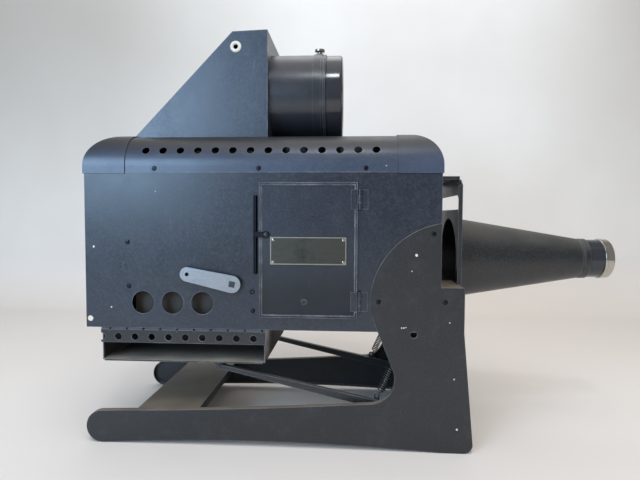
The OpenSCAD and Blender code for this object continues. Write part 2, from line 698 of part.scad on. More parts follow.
// Hood: two cheeks, a sloping back, a flat top and a front with the tube's hole.
module hood_shell() color("#434d5c") place() difference() {
    intersection() {
        along_y(-hood_half_w, hood_half_w) hood_outline();
        box([0, -hood_half_w, cover_z], [hood_front_x, hood_half_w, cover_z + hood_h + hood_lift]);
    }
    along_y(-hood_half_w + sheet, hood_half_w - sheet) hood_outline(sheet);
    rod_x(hood_front_x - sheet - 1, hood_front_x + 1, 0, opaque_z, tube_r + 0.2, fine);
    rod_y(hood_eyelet[0], hood_eyelet[1], eyelet_d / 4 + 0.4, -hood_half_w - 1, -hood_half_w + sheet + 1);
}

hood_eyelet = [206, cover_z + 132.5];

// Places a child along the hood's slope: X runs up the slope and Z points out of it.
module on_slope() translate([hood_foot_x, 0, cover_z]) rotate([0, -slope_a, 0]) children();

mirror_x0 = 22;                              // the mirror's lower edge along the slope
mirror_x1 = slope_len - 12;
mirror_half_w = hood_half_w - 5;
mirror_top = -sheet - run_gap;               // back of the mirror, just off the slope

// Front-surface mirror that lies against the slope.
module hood_mirror() color("#c4ccd2") place() on_slope()
    box([mirror_x0, -mirror_half_w, mirror_top - mirror_t], [mirror_x1, mirror_half_w, mirror_top]);

// Four folded clips that hold the mirror's edges to the slope.
module mirror_clip() {
    clip_t = 1.2;
    clip_w = 12;
    z0 = mirror_top - mirror_t - run_gap;
    box([-clip_t - run_gap, -clip_w / 2, z0 - clip_t], [-run_gap, clip_w / 2, -sheet]);
    box([-clip_t - run_gap, -clip_w / 2, z0 - clip_t], [6, clip_w / 2, z0]);
}
module hood_mirror_clips() color("#8d9499") place() on_slope() for (y = [-40, 40]) {
    translate([mirror_x0, y, 0]) mirror_clip();
    translate([mirror_x1, y, 0]) mirror([1, 0, 0]) mirror_clip();
}

// Pale eyelet set in the near cheek.
module hood_eyelet() color("#e9e9e4") place()
    translate([hood_eyelet[0], -hood_half_w, hood_eyelet[1]]) rotate([90, 0, 0])
        rotate_extrude($fn = 40) polygon([[eyelet_d / 4 - 0.6, -2], [eyelet_d / 4 + 0.3, -2],
            [eyelet_d / 4 + 0.3, 0], [eyelet_d / 2, 0], [eyelet_d / 2 - 0.2, 1], [eyelet_d * 0.42, 1.9],
            [eyelet_d * 0.31, 2.1], [eyelet_d / 4 - 0.6, 1.2]]);

// ---- Opaque lens ----
thumb_x = tube_end_x - 8;
shank_r = 2.4;
bore_r = tube_r - tube_wall;                 // bore of the opaque tube
barrel_r = bore_r - run_gap;
band_t = 1.4;                                // thickness of the clamp band
boss_h = 3.2;                                // height of the clamp band's boss
glass_r = barrel_r - barrel_wall - 0.05;
flange_r = min(tube_r + 4, tube_z - 0.4);    // flange behind the hood's front

module thumb_hole(r) translate([thumb_x, 0, opaque_z + bore_r - 2]) cylinder(r = r, h = 16, $fn = 24);

module opaque_tube() color("#2f343b") place() difference() {
    turn_x(hood_front_x, opaque_z) polygon([[bore_r, -sheet - 2], [flange_r, -sheet - 2], [flange_r, -sheet],
        [tube_r, -sheet], [tube_r, tube_l], [tube_r + 0.9, tube_l + 0.6],
        [tube_r + 0.9, tube_l + tube_bead_l - 0.6], [tube_r + 0.3, tube_l + tube_bead_l],
        [bore_r, tube_l + tube_bead_l]]);
    thumb_hole(shank_r + 0.3);
}

// Clamp band near the mouth of the tube, with the boss of the clamp screw on top.
module tube_clamp_band() color("#2a2e34") place() difference() {
    union() {
        turn_x(thumb_x - 7, opaque_z) translate([tube_r + run_gap, 0]) square([band_t - run_gap, 12]);
        translate([thumb_x, 0, opaque_z + tube_r + 0.3]) cylinder(r = 6.6, h = boss_h, $fn = 32);
    }
    thumb_hole(shank_r + 0.3);
}

// Nickel thumb screw that clamps the barrel.
module thumb_screw() color("#b9b9b4") place() {
    z = opaque_z + tube_r + 0.3 + boss_h + sheet_gap;
    shank = z - (opaque_z + barrel_r + sheet_gap);
    translate([thumb_x, 0, z]) rotate_extrude($fn = 36) polygon([[0, -shank], [shank_r, -shank], [shank_r, 0],
        [5, 0], [5, 1.2], [3.4, 1.6], [3.4, 3.2], [thumb_r - 0.8, 3.8], [thumb_r, 4.6], [thumb_r, 7.4],
        [thumb_r - 0.8, 8.2], [0, 8.6]]);
}

lens_lip = 2.5;                              // how far the barrel's inner lips reach over a lens
barrel_in = barrel_r - barrel_wall;
module opaque_barrel() color("#1d2024") place() turn_x(ring_x, opaque_z) polygon([
    [barrel_in, -barrel_in_l + 4], [barrel_in - lens_lip, -barrel_in_l + 4],
    [barrel_in - lens_lip, -barrel_in_l], [barrel_r, -barrel_in_l], [barrel_r, 0], [tube_r - 1.6, 0],
    [tube_r - 0.9, 0.7], [tube_r - 0.9, ring_l - 4], [tube_r - 2.2, ring_l - 0.8], [tube_r - 3.6, ring_l],
    [barrel_in - lens_lip, ring_l - 2], [barrel_in - lens_lip, ring_l - 5], [barrel_in, ring_l - 5]]);

// A lens of radius r whose two faces are domes of height h0 and h1 over a rim of thickness e.
module lens(x, z, r, e, h0, h1) {
    module dome(h) {
        foot = r - 0.5;
        s = (foot * foot + h * h) / (2 * h);
        intersection() {
            translate([0, h - s]) circle(r = s, $fn = 2 * fine);
            translate([0, -joint]) square([r - 0.2, h + 1]);
        }
    }
    turn_x(x, z) union() {
        square([r, e]);
        if (h1 > 0) translate([0, e]) dome(h1);
        if (h0 > 0) mirror([0, 1]) dome(h0);
    }
}
module opaque_lens_front() color("#aebfc6") place()
    lens(ring_x + ring_l - 5 - 6 - 0.6, opaque_z, glass_r, 6, 5, 4.5);
module opaque_lens_rear() color("#aebfc6") place()
    lens(ring_x - barrel_in_l + 4, opaque_z, glass_r, 6, 0, 5);

// ---- Slide stage ----
stage_top = seam_z - stage_drop;
bracket_half_w = 80;

// Folded lid between the casing's front and the stage plate.
module stage_bracket() color("#3c434c") place() {
    x1 = stage_x - plate_t;
    z1 = stage_top + 5;
    difference() {
        box([casing_l, -bracket_half_w, z1 - 10], [x1, bracket_half_w, z1]);
        box([casing_l + sheet, -bracket_half_w + sheet, z1 - 11],
            [x1 - sheet, bracket_half_w - sheet, z1 - sheet]);
        box([casing_l + sheet, -bracket_half_w - 1, z1 - 11], [x1 - sheet, bracket_half_w + 1, z1 - 5]);
    }
}

// Finger window in Y and Z: round upper corners and a straight sill.
module window_outline() {
    z = axis_z + cone_r1 - cone_wall + window_rise;
    inner_w = window_half_w - window_r;
    translate([-window_half_w, z]) square([2 * window_half_w, window_h - window_r]);
    translate([-inner_w, z]) square([2 * inner_w, window_h]);
    intersection() {
        for (s = [-1, 1]) translate([s * inner_w, z + window_h - window_r]) circle(r = window_r);
        translate([-window_half_w, z]) square([2 * window_half_w, window_h]);
    }
}

// Upright plate on the front of the stand's front wall, with the cone's hole, a finger window,
// folded edges above the shelf and a tongue below it that backs the cone's flange.
module stage_plate() color("#3a4046") place() {
    x0 = stage_x - plate_t;
    cut = [12, 8];
    tongue_y = cone_r1 + 10;
    tongue_z = axis_z - cone_r1 - 8;
    difference() {
        along_x(x0, stage_x) difference() {
            polygon([[-stage_half_w, shelf_z], [-tongue_y, shelf_z], [-tongue_y, tongue_z],
                [tongue_y, tongue_z], [tongue_y, shelf_z], [stage_half_w, shelf_z],
                [stage_half_w, stage_top - cut[1]],
                [stage_half_w - cut[0], stage_top], [-stage_half_w + cut[0], stage_top],
                [-stage_half_w, stage_top - cut[1]]]);
            window_outline();
        }
        rod_x(x0 - 1, stage_x + 1, 0, axis_z, cone_r1 - cone_wall, fine);
    }
    both_sides() box([stage_x - stage_flange, -stage_half_w, shelf_z],
        [x0 + joint, -stage_half_w + sheet, stage_top - cut[1]]);
}

// Condenser cell in the casing's front wall, open at both ends.
cell_l = 48;
cell_lip = 2;
module condenser_cell() color("#3a3d40") place() turn_x(casing_l, axis_z) polygon([[cell_r - 8, 0],
    [cell_r - 8, -cell_lip], [cell_r - 3, -cell_lip], [cell_r - 3, -cell_l], [cell_r - 0.1, -cell_l],
    [cell_r - 0.1, -sheet - 1.6], [cell_r + 6, -sheet - 1.6], [cell_r + 6, -sheet], [cell_r - 0.1, -sheet],
    [cell_r - 0.1, 0]]);
// Two plano-convex condenser lenses, curved faces together.
module condenser_lenses() color("#aebfc6") place() {
    edge = 3.6;
    lens(casing_l - cell_lip - edge, axis_z, cell_r - 3.05, edge, 15, 0);
    lens(casing_l - cell_l + 2, axis_z, cell_r - 3.05, edge, 0, 15);
}

// ---- Slide lens ----
nose_bore = slide_r - 1.5;
// Long cone on the stage plate, ending in a grooved straight nose.
module lens_cone() color("#33383e") place() turn_x(stage_x, axis_z) polygon([[cone_r1 - cone_wall, 0],
    [cone_r1 + 6, 0], [cone_r1 + 6, sheet], [cone_r1, sheet], [cone_r2, cone_l - 1], [cone_r2 - 1, cone_l],
    [cone_r2 - 1, cone_l + 2], [cone_r2, cone_l + 3], [cone_r2, cone_l + nose_l - 0.6],
    [cone_r2 - 0.6, cone_l + nose_l], [nose_bore, cone_l + nose_l], [nose_bore, cone_l - 6],
    [cone_r2 - cone_wall + 1, cone_l - 6]]);

slide_bore = nose_bore - 5;
module slide_barrel() color("#24272b") place() turn_x(nose_end_x, axis_z) polygon([[slide_bore, -slide_in_l],
    [nose_bore - run_gap, -slide_in_l], [nose_bore - run_gap, sheet_gap], [slide_r - 0.5, sheet_gap],
    [slide_r, sheet_gap + 0.5], [slide_r, sheet_gap + slide_black_l],
    [slide_bore, sheet_gap + slide_black_l]]);
// Bright bezel at the mouth of the barrel.
module slide_bezel() color("#c9c9c4") place() turn_x(bezel_x, axis_z) polygon([[slide_bore, 0],
    [bezel_r - 0.8, 0], [bezel_r, 0.8], [bezel_r, 4], [bezel_r - 1, 5], [bezel_r - 1, bezel_l - 2.5],
    [bezel_r - 3, bezel_l], [slide_bore + 0.5, bezel_l], [slide_bore - 1.5, bezel_l - 4],
    [slide_bore - 1.5, bezel_l - 6], [slide_bore, bezel_l - 6]]);
module slide_lens_front() color("#aebfc6") place()
    lens(bezel_x + bezel_l - 6 - 3.5 - 0.5, axis_z, slide_bore - 0.05, 3.5, 4, 3);
module slide_lens_rear() color("#aebfc6") place()
    lens(nose_end_x - slide_in_l + 6, axis_z, slide_bore - 0.05, 4, 3, 4);

// ---- Lamp ----
lamp_x = 338;
lamp_floor = base_h + sheet;
lamp_foot = [38, 34];                        // half length and half width of the bracket's foot
lamp_seat = [24, 26];                        // half length and half width of its raised seat
lamp_seat_h = 12;
socket_h = 34;
module lamp_bracket() color("#6f7376") place() {
    t = 2;
    top = lamp_floor + lamp_seat_h;
    box([lamp_x - lamp_foot[0], -lamp_foot[1], lamp_floor],
        [lamp_x + lamp_foot[0], lamp_foot[1], lamp_floor + t]);
    for (y = [-lamp_seat[1], lamp_seat[1] - t])
        box([lamp_x - lamp_seat[0] + 4, y, lamp_floor], [lamp_x + lamp_seat[0] - 4, y + t, top]);
    difference() {
        box([lamp_x - lamp_seat[0], -lamp_seat[1], top - t], [lamp_x + lamp_seat[0], lamp_seat[1], top]);
        translate([lamp_x, 0, top - t - 1]) cylinder(r = 6, h = t + 2);
    }
}
module lamp_socket() color("#d8d5cc") place()
    translate([lamp_x, 0, lamp_floor + lamp_seat_h]) rotate_extrude()
    polygon([[0, 0], [21, 0], [22, 1], [22, 8], [19, 11], [19, socket_h - 1], [18, socket_h],
        [14, socket_h], [14, 8], [0, 8]]);
// Globe lamp with its neck in the socket.
module lamp_bulb() color("#dfe6e6") place() {
    z0 = lamp_floor + lamp_seat_h + 8;
    globe = 31;
    translate([lamp_x, 0, z0]) rotate_extrude() intersection() {
        union() {
            translate([0, axis_z - z0]) circle(r = globe, $fn = fine);
            square([13, axis_z - z0 - 20]);
            polygon([[0, 28], [13, 28], [26, axis_z - z0 - 17], [0, axis_z - z0 - 17]]);
        }
        square([globe + 1, axis_z - z0 + globe + 1]);
    }
}
// Round two-pin inlet in the far wall.
module power_inlet() color("#2a2523") place() {
    translate([inlet_x, casing_y, inlet_z]) rotate([-90, 0, 0]) rotate_extrude() polygon([[0, -14],
        [inlet_r - 0.1, -14], [inlet_r - 0.1, 0], [inlet_r + 4, 0], [inlet_r + 4, 1.4], [inlet_r + 3, 2.2],
        [inlet_r - 2, 2.2], [inlet_r - 3, -9], [0, -9]]);
    for (x = [-5, 5]) rod_y(inlet_x + x, inlet_z, 2.2, casing_y - 10, casing_y - 0.5, 24);
}

// ---- Door ----
door_y = casing_y + sheet_gap;               // inner face of the door
door_out = door_y + sheet;                   // outer face of the door's sheet
hinge_in = 10;                               // from the door's ends to its hinges
hinge_x = door_x + door_w + knuckle_r + 0.9;
hinge_y = casing_y + knuckle_r + 0.1;
hinge_z = [base_h + door_z + hinge_in, base_h + door_z + door_h - hinge_in - hinge_l];
knuckle_gap = 0.3;
leaf_t = 0.8;

// The outer thirds of a hinge when moving is false, and its middle third when it is true.
module knuckles(z, moving) {
    third = hinge_l / 3;
    spans = moving ? [[third, 2 * third]] : [[0, third - knuckle_gap], [2 * third + knuckle_gap, hinge_l]];
    for (p = spans) {
        translate([hinge_x, -hinge_y, z + p[0]]) cylinder(r = knuckle_r, h = p[1] - p[0], $fn = 32);
        if (!moving) box([hinge_x, -casing_y - leaf_t, z + p[0]], [hinge_x + 1, -casing_y, z + p[1]]);
    }
}
module pin_bore(z) translate([hinge_x, -hinge_y, z - 1])
    cylinder(r = pin_r + run_gap, h = hinge_l + 2, $fn = 24);

module hinge_fixed_leaves() color("#3c434c") place() for (z = hinge_z) difference() {
    union() {
        knuckles(z, false);
        box([hinge_x + knuckle_r + 0.6, -casing_y - leaf_t, z], [hinge_x + 11, -casing_y, z + hinge_l]);
        for (p = [0, 2]) box([hinge_x, -casing_y - leaf_t, z + p * (hinge_l / 3 + knuckle_gap / 2)],
            [hinge_x + 6, -casing_y, z + (p + 1) * hinge_l / 3 - (p == 0 ? knuckle_gap : 0)]);
    }
    pin_bore(z);
}
module hinge_pins() color("#6b6f73") place() for (z = hinge_z) translate([hinge_x, -hinge_y, z]) {
    cylinder(r = pin_r, h = hinge_l, $fn = 24);
    translate([0, 0, hinge_l]) cylinder(r = knuckle_r - 0.4, h = 0.8, $fn = 24);
    translate([0, 0, -0.8]) cylinder(r = knuckle_r - 0.4, h = 0.8, $fn = 24);
}
// Leaves that lie on the door, with the middle knuckles.
module hinge_door_leaves() color("#3f4750") place() for (z = hinge_z) difference() {
    union() {
        knuckles(z, true);
        box([hinge_x - 12.5, -door_out - leaf_t, z], [hinge_x - knuckle_r - 0.7, -door_out, z + hinge_l]);
        box([hinge_x - 6, -door_out - leaf_t, z + hinge_l / 3], [hinge_x, -door_out, z + 2 * hinge_l / 3]);
    }
    pin_bore(z);
}

latch_x = door_x + 9.5;
latch_z = base_h + door_z + latch_rise;
latch_y = door_out + bead_h + sheet_gap;     // inner face of the latch tongue
tongue_t = 1.2;

// Flat door with a rolled bead round its edge.
module door_panel() color("#434c59") place() {
    z0 = base_h + door_z;
    x1 = door_x + door_w;
    z1 = z0 + door_h;
    difference() {
        union() {
            box([door_x, -door_out, z0], [x1, -door_y, z1]);
            difference() {
                box([door_x, -door_out - bead_h, z0], [x1, -door_out + joint, z1]);
                box([door_x + bead_w, -door_out - bead_h - 1, z0 + bead_w],
                    [x1 - bead_w, -door_out + 1, z1 - bead_w]);
                for (z = hinge_z) box([x1 - bead_w - 1, -door_out - bead_h - 1, z - 0.4],
                    [x1 + 1, -door_out, z + hinge_l + 0.4]);
            }
        }
        rod_y(latch_x, latch_z, 1.8, -door_out - 1, -door_y + 1, 24);
    }
    side_screw(door_x + 62.5, -door_out, z0 + 22.3);
}

badge_x = door_x + 15;
badge_z = base_h + door_z + badge_rise;
module name_plate() color("#6d6f6b") place() difference() {
    box([badge_x, -door_out - 1.1, badge_z], [badge_x + badge_l, -door_out, badge_z + badge_h]);
    box([badge_x + 2, -door_out - 2, badge_z + 2],
        [badge_x + badge_l - 2, -door_out - 0.8, badge_z + badge_h - 2]);
}
module name_plate_screws() color("#b9b9b4") place() for (x = [4.5, badge_l - 4.5], z = [4.5, badge_h - 4.5])
    translate([badge_x + x, -door_out - 0.8, badge_z + z]) rotate([90, 0, 0]) rotate_extrude($fn = 20)
        polygon([[0, 0], [2, 0], [1.6, 0.6], [0.8, 0.9], [0, 0.9]]);

// Shouldered screw that carries the latch tongue on the door.
module latch_screw() color("#8d9499") place()
    translate([latch_x, 0, latch_z]) rotate([90, 0, 0]) rotate_extrude($fn = 24)
        polygon([[0, door_y], [1.75, door_y], [1.75, door_out], [4, door_out], [4, latch_y - 0.1],
            [1.75, latch_y - 0.1], [1.75, latch_y + tongue_t + 0.1], [3.2, latch_y + tongue_t + 0.1],
            [3.2, latch_y + tongue_t + 0.6], [2.2, latch_y + tongue_t + 1.5], [0, latch_y + tongue_t + 1.7]]);
// Turning tongue that reaches over the door's bead and the strip beside it.
module latch_tongue() color("#30343a") place() difference() {
    along_y(-latch_y - tongue_t, -latch_y) {
        translate([latch_x, latch_z]) circle(r = 4.8, $fn = 32);
        translate([latch_x - 12, latch_z - 4]) square([12, 8]);
        translate([latch_x - 12, latch_z]) circle(r = 4, $fn = 32);
    }
    rod_y(latch_x, latch_z, 1.75 + run_gap, -latch_y - tongue_t - 1, -latch_y + 1, 24);
}
// Upright keeper strip on the casing beside the door, with a ridge down its middle.
module latch_strip() color("#33393f") place() {
    x = door_x - 5.4;
    z0 = base_h + door_z + 60.5;
    h = 109;
    translate([0, 0, z0]) linear_extrude(h) polygon([[x - 3, -casing_y], [x + 3, -casing_y],
        [x + 2.4, -casing_y - 1], [x + 0.8, -latch_y + 0.5], [x - 0.8, -latch_y + 0.5],
        [x - 2.4, -casing_y - 1]]);
}

// ---- Mirror lever ----
shaft_tip = lever_y + lever_t + 1.2;
module at_lever(a = 0) translate([lever_x, 0, lever_z]) rotate([0, a, 0]) children();

// Tapered lever with a square hub hole and a round hole at its free end.
module mirror_lever() color("#b4b6b4") place() at_lever(lever_angle) difference() {
    along_y(-lever_y - lever_t, -lever_y) {
        circle(r = lever_r1, $fn = fine);
        translate([-lever_c, 0]) circle(r = lever_r2, $fn = fine);
        taper = asin((lever_r1 - lever_r2) / lever_c);
        hub = lever_r1 * [-sin(taper), cos(taper)];
        free = lever_r2 * [-sin(taper), cos(taper)] - [lever_c, 0];
        polygon([hub, free, [free[0], -free[1]], [hub[0], -hub[1]]]);
    }
    box([-square_a / 2 - run_gap, -lever_y - lever_t - 1, -square_a / 2 - run_gap],
        [square_a / 2 + run_gap, -lever_y + 1, square_a / 2 + run_gap]);
    rod_y(-lever_c, 0, 2.6, -lever_y - lever_t - 1, -lever_y + 1, 24);
}
// Shaft across the casing, with a square end for the lever.
module lever_shaft() color("#7d8184") place() at_lever(lever_angle) {
    rod_y(0, 0, shaft_r, -lever_y, casing_y + 2.6);
    box([-square_a / 2, -shaft_tip, -square_a / 2], [square_a / 2, -lever_y + joint, square_a / 2]);
}
// Flanged bushes in the casing's walls.
module lever_bushes() color("#4a4d50") place() both_sides() difference() {
    union() {
        rod_y(lever_x, lever_z, bush_r - 0.05, -casing_y - 2.4, -casing_y + sheet + 5);
        rod_y(lever_x, lever_z, bush_r + 2.5, -casing_y - 2.4, -casing_y);
    }
    rod_y(lever_x, lever_z, shaft_r + run_gap, -casing_y - 4, -casing_y + sheet + 8);
}
// Polished shutter plate clamped on the shaft; it throws the light forward when it is raised.
module reflecting_shutter() color("#b9bdc0") place() at_lever(lever_angle) {
    half = casing_y - sheet - 12;
    difference() {
        union() {
            for (y = [-half, -15, half - 30]) rod_y(0, 0, shaft_r + 3, y, y + 30);
            box([0, -half, -shaft_r - 3], [shutter_l, half, -shaft_r - 1.8]);
            box([shutter_l - 1.2, -half, -shaft_r - 3], [shutter_l, half, -shaft_r + 4]);
        }
        rod_y(0, 0, shaft_r + run_gap, -half - 1, half + 1);
    }
}

stand_plate_near();
stand_plate_far();
stand_tie_plate();
stand_front_cover();
stand_screws();
arm_shaft();
arm_shaft_bosses();
spring_anchors();
casing_shell();
casing_rivets();
air_hole_baffles();
copy_skirt();
cover_centre();
cover_cap_rear();
cover_cap_front();
cover_screws();
hood_shell();
hood_mirror();
hood_mirror_clips();
hood_eyelet();
opaque_tube();
tube_clamp_band();
thumb_screw();
opaque_barrel();
opaque_lens_front();
opaque_lens_rear();
stage_bracket();
stage_plate();
lens_cone();
condenser_cell();
condenser_lenses();
slide_barrel();
slide_bezel();
slide_lens_front();
slide_lens_rear();
lamp_bracket();
lamp_socket();
lamp_bulb();
power_inlet();
hinge_fixed_leaves();
hinge_pins();
door_panel();
hinge_door_leaves();
name_plate();
name_plate_screws();
latch_screw();
latch_tongue();
latch_strip();
mirror_lever();
lever_shaft();
lever_bushes();
reflecting_shutter();
platen_arms();
platen_pivot_rod();
platen_pan();
platen_spring_near();
platen_spring_far();
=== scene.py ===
"""Looks for the combination lantern: enamel, metal, glass, springs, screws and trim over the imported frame."""

import json
import math

import bmesh
import bpy
from mathutils import Matrix, Vector


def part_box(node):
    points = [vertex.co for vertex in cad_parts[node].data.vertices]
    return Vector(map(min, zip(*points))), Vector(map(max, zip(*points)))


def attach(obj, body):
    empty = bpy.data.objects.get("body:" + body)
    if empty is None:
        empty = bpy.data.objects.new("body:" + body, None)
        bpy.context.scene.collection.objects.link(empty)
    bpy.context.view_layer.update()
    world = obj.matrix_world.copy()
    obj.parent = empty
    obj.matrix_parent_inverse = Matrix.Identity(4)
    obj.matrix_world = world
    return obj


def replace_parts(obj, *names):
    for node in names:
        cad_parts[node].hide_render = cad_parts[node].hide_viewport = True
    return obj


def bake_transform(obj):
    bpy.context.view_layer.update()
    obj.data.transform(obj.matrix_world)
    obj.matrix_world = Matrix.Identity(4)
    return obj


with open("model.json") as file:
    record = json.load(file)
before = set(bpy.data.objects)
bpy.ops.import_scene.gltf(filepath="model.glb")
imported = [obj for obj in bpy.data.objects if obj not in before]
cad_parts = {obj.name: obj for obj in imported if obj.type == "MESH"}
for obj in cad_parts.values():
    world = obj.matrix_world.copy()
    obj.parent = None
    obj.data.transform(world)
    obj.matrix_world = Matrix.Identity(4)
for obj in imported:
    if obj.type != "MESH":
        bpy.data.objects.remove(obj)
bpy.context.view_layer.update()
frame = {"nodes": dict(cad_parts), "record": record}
nodes = frame["nodes"]
MM = 0.001


def tone(code):
    """Linear colour of a six-digit sRGB code."""
    parts = [int(code[i : i + 2], 16) / 255 for i in (0, 2, 4)]
    return [p / 12.92 if p <= 0.04045 else ((p + 0.055) / 1.055) ** 2.4 for p in parts] + [1.0]


def shaded(colour, factor):
    """A colour made darker or lighter."""
    return [c * factor for c in colour[:3]] + [1.0]


# ---- Shader helpers ----
def put(tree, socket, value):
    """Links or sets one input."""
    if isinstance(value, bpy.types.NodeSocket):
        tree.links.new(value, socket)
    else:
        socket.default_value = value


def start(name):
    """A new material: its node tree, its shader and the row frame's coordinates."""
    material = bpy.data.materials.new(name)
    material.use_nodes = True
    tree = material.node_tree
    shader = tree.nodes["Principled BSDF"]
    where = tree.nodes.new("ShaderNodeTexCoord").outputs["Object"]
    return material, tree, shader, where


def noise(tree, where, scale, detail=3.0, roughness=0.5, stretch=None):
    """Noise from 0 to 1. stretch scales each axis, which turns blots into streaks."""
    if stretch:
        where = scaled(tree, where, stretch)
    n = tree.nodes.new("ShaderNodeTexNoise")
    put(tree, n.inputs["Vector"], where)
    put(tree, n.inputs["Scale"], scale)
    put(tree, n.inputs["Detail"], detail)
    put(tree, n.inputs["Roughness"], roughness)
    return n.outputs["Fac"]


def scaled(tree, where, factors):
    """Coordinates multiplied axis by axis."""
    n = tree.nodes.new("ShaderNodeVectorMath")
    n.operation = "MULTIPLY"
    put(tree, n.inputs[0], where)
    n.inputs[1].default_value = factors
    return n.outputs[0]


def axes(tree, vector):
    """The X, Y and Z outputs of a vector."""
    n = tree.nodes.new("ShaderNodeSeparateXYZ")
    put(tree, n.inputs[0], vector)
    return n.outputs


def spread(tree, value, low, high, to_low=0.0, to_high=1.0):
    """value eased from low..high to to_low..to_high, and held beyond them."""
    n = tree.nodes.new("ShaderNodeMapRange")
    n.interpolation_type = "SMOOTHSTEP"
    put(tree, n.inputs["Value"], value)
    for key, number in (("From Min", low), ("From Max", high), ("To Min", to_low), ("To Max", to_high)):
        n.inputs[key].default_value = number
    return n.outputs["Result"]


def maths(tree, operation, a, b):
    """One arithmetic node."""
    n = tree.nodes.new("ShaderNodeMath")
    n.operation = operation
    put(tree, n.inputs[0], a)
    put(tree, n.inputs[1], b)
    return n.outputs[0]


def blend_colour(tree, share, a, b):
    """Colour a, with a share of colour b over it."""
    n = tree.nodes.new("ShaderNodeMix")
    n.data_type = "RGBA"
    put(tree, n.inputs["Factor"], share)
    put(tree, n.inputs["A"], a)
    put(tree, n.inputs["B"], b)
    return n.outputs["Result"]


def bump(tree, height, distance, below=None):
    """Normals of a relief of this depth, on top of another relief where one is given."""
    n = tree.nodes.new("ShaderNodeBump")
    n.inputs["Strength"].default_value = 1.0
    n.inputs["Distance"].default_value = distance
    put(tree, n.inputs["Height"], height)
    if below:
        put(tree, n.inputs["Normal"], below)
    return n.outputs["Normal"]


def facing_up(tree, low=0.25, high=0.95):
    """1 on faces that look up, 0 on walls."""
    normal = tree.nodes.new("ShaderNodeNewGeometry").outputs["Normal"]
    return spread(tree, axes(tree, normal)["Z"], low, high)


def near_edges(tree, radius):
    """1 within radius of a sharp edge and 0 on the flat, where the rounded normal is the true one."""
    rounded = tree.nodes.new("ShaderNodeBevel")
    rounded.samples = 4
    rounded.inputs["Radius"].default_value = radius
    dot = tree.nodes.new("ShaderNodeVectorMath")
    dot.operation = "DOT_PRODUCT"
    put(tree, dot.inputs[0], rounded.outputs[0])
    put(tree, dot.inputs[1], tree.nodes.new("ShaderNodeNewGeometry").outputs["Normal"])
    edge_cosine, flat_cosine = 0.93, 0.995
    return spread(tree, dot.outputs["Value"], edge_cosine, flat_cosine, 1.0, 0.0)


def spots(tree, where, places, ragged):
    """1 inside spots, each given as its centre and radius in metres. ragged is how far their rims stray."""
    wobble = tree.nodes.new("ShaderNodeTexNoise")
    put(tree, wobble.inputs["Vector"], where)
    wobble.inputs["Scale"].default_value = WOBBLE
    shifted = tree.nodes.new("ShaderNodeVectorMath")
    shifted.operation = "MULTIPLY_ADD"
    put(tree, shifted.inputs[0], wobble.outputs["Color"])
    shifted.inputs[1].default_value = (ragged, ragged, ragged)
    put(tree, shifted.inputs[2], where)
    total = None
    for centre, radius in places:
        away = tree.nodes.new("ShaderNodeVectorMath")
        away.operation = "DISTANCE"
        put(tree, away.inputs[0], shifted.outputs[0])
        away.inputs[1].default_value = [c + ragged / 2 for c in centre]
        inside = spread(tree, away.outputs["Value"], radius * 0.8, radius, 1.0, 0.0)
        total = maths(tree, "MAXIMUM", total, inside) if total else inside
    return total


# ---- Materials ----
# Noise scales, in waves per metre: enamel from broad to fine, then metal and the rest.
CLOUD, DENT, PATCH, STREAK, GRIME, EDGE_PATCH, SCUFF, GRAIN, PEBBLE = 6, 9, 22, 34, 46, 60, 150, 360, 560
STAIN, SCRATCH, RIPPLE, HAIRLINE, SPECK = 38, 260, 90, 300, 500
BLOOM, HAZE, MOTTLE, PEEL, WOBBLE = 30, 45, 120, 400, 420

# Colours that the enamels share: of age, of edges lightened partly by abrasion and partly as a painted
# highlight, and the dark tone of painted shade.
PALE_GRAIN, GREASE, EDGE_WEAR_AND_HIGHLIGHT = tone("6a7079"), tone("5a5c60"), tone("8b8f96")
SCUFFED, PRIMER, PAINTED_SHADE_TONE = tone("9a9c9e"), tone("cfcabb"), tone("08090a")


def coat(tree, where, colour, grain, speckle, top):
    """Paint in soft clouds with a pale grain and a little grease. top, where given, is painted light: a colour
    laid on faces that look up, lighter or darker than the sides as the light falls.
    """
    cloud = noise(tree, where, CLOUD, 4, 0.55)
    paint = blend_colour(tree, spread(tree, cloud, 0.3, 0.7), shaded(colour, 0.82), shaded(colour, 1.2))
    paint = blend_colour(tree, spread(tree, grain, 0.4, 0.75, 0, speckle), paint, PALE_GRAIN)
    # Painted light: faces that look up take another colour than the sides.
    if top:
        paint = blend_colour(tree, facing_up(tree, 0.0, 0.85), paint, tone(top))
    grease = noise(tree, where, GRIME, 5, 0.62)
    return blend_colour(tree, spread(tree, grease, 0.5, 0.8, 0, 0.1), paint, GREASE)


def worn_and_edge_lit(tree, where, paint, wear_and_highlight, rub_and_highlight, chips):
    """Paint lightened along its edges, partly abraded and partly a painted highlight, lightly scuffed and
    chipped to the primer.
    """
    # Painted highlight along the edges, together with real abrasion: the edge band is lightened towards a pale
    # tone.
    uneven = spread(tree, noise(tree, where, EDGE_PATCH, 4), 0.38, 0.72, wear_and_highlight * 0.35, wear_and_highlight)
    rubbed_and_lit = maths(tree, "MULTIPLY", near_edges(tree, rub_and_highlight * MM), uneven)
    paint = blend_colour(tree, rubbed_and_lit, paint, EDGE_WEAR_AND_HIGHLIGHT)
    scuffs = noise(tree, where, SCUFF, 4, 0.7, (1.0, 1.0, 0.07))
    paint = blend_colour(tree, spread(tree, scuffs, 0.66, 0.74, 0, 0.12), paint, SCUFFED)
    if chips:
        ragged = 1.8 * MM
        paint = blend_colour(tree, spots(tree, where, chips, ragged), paint, PRIMER)
    return paint


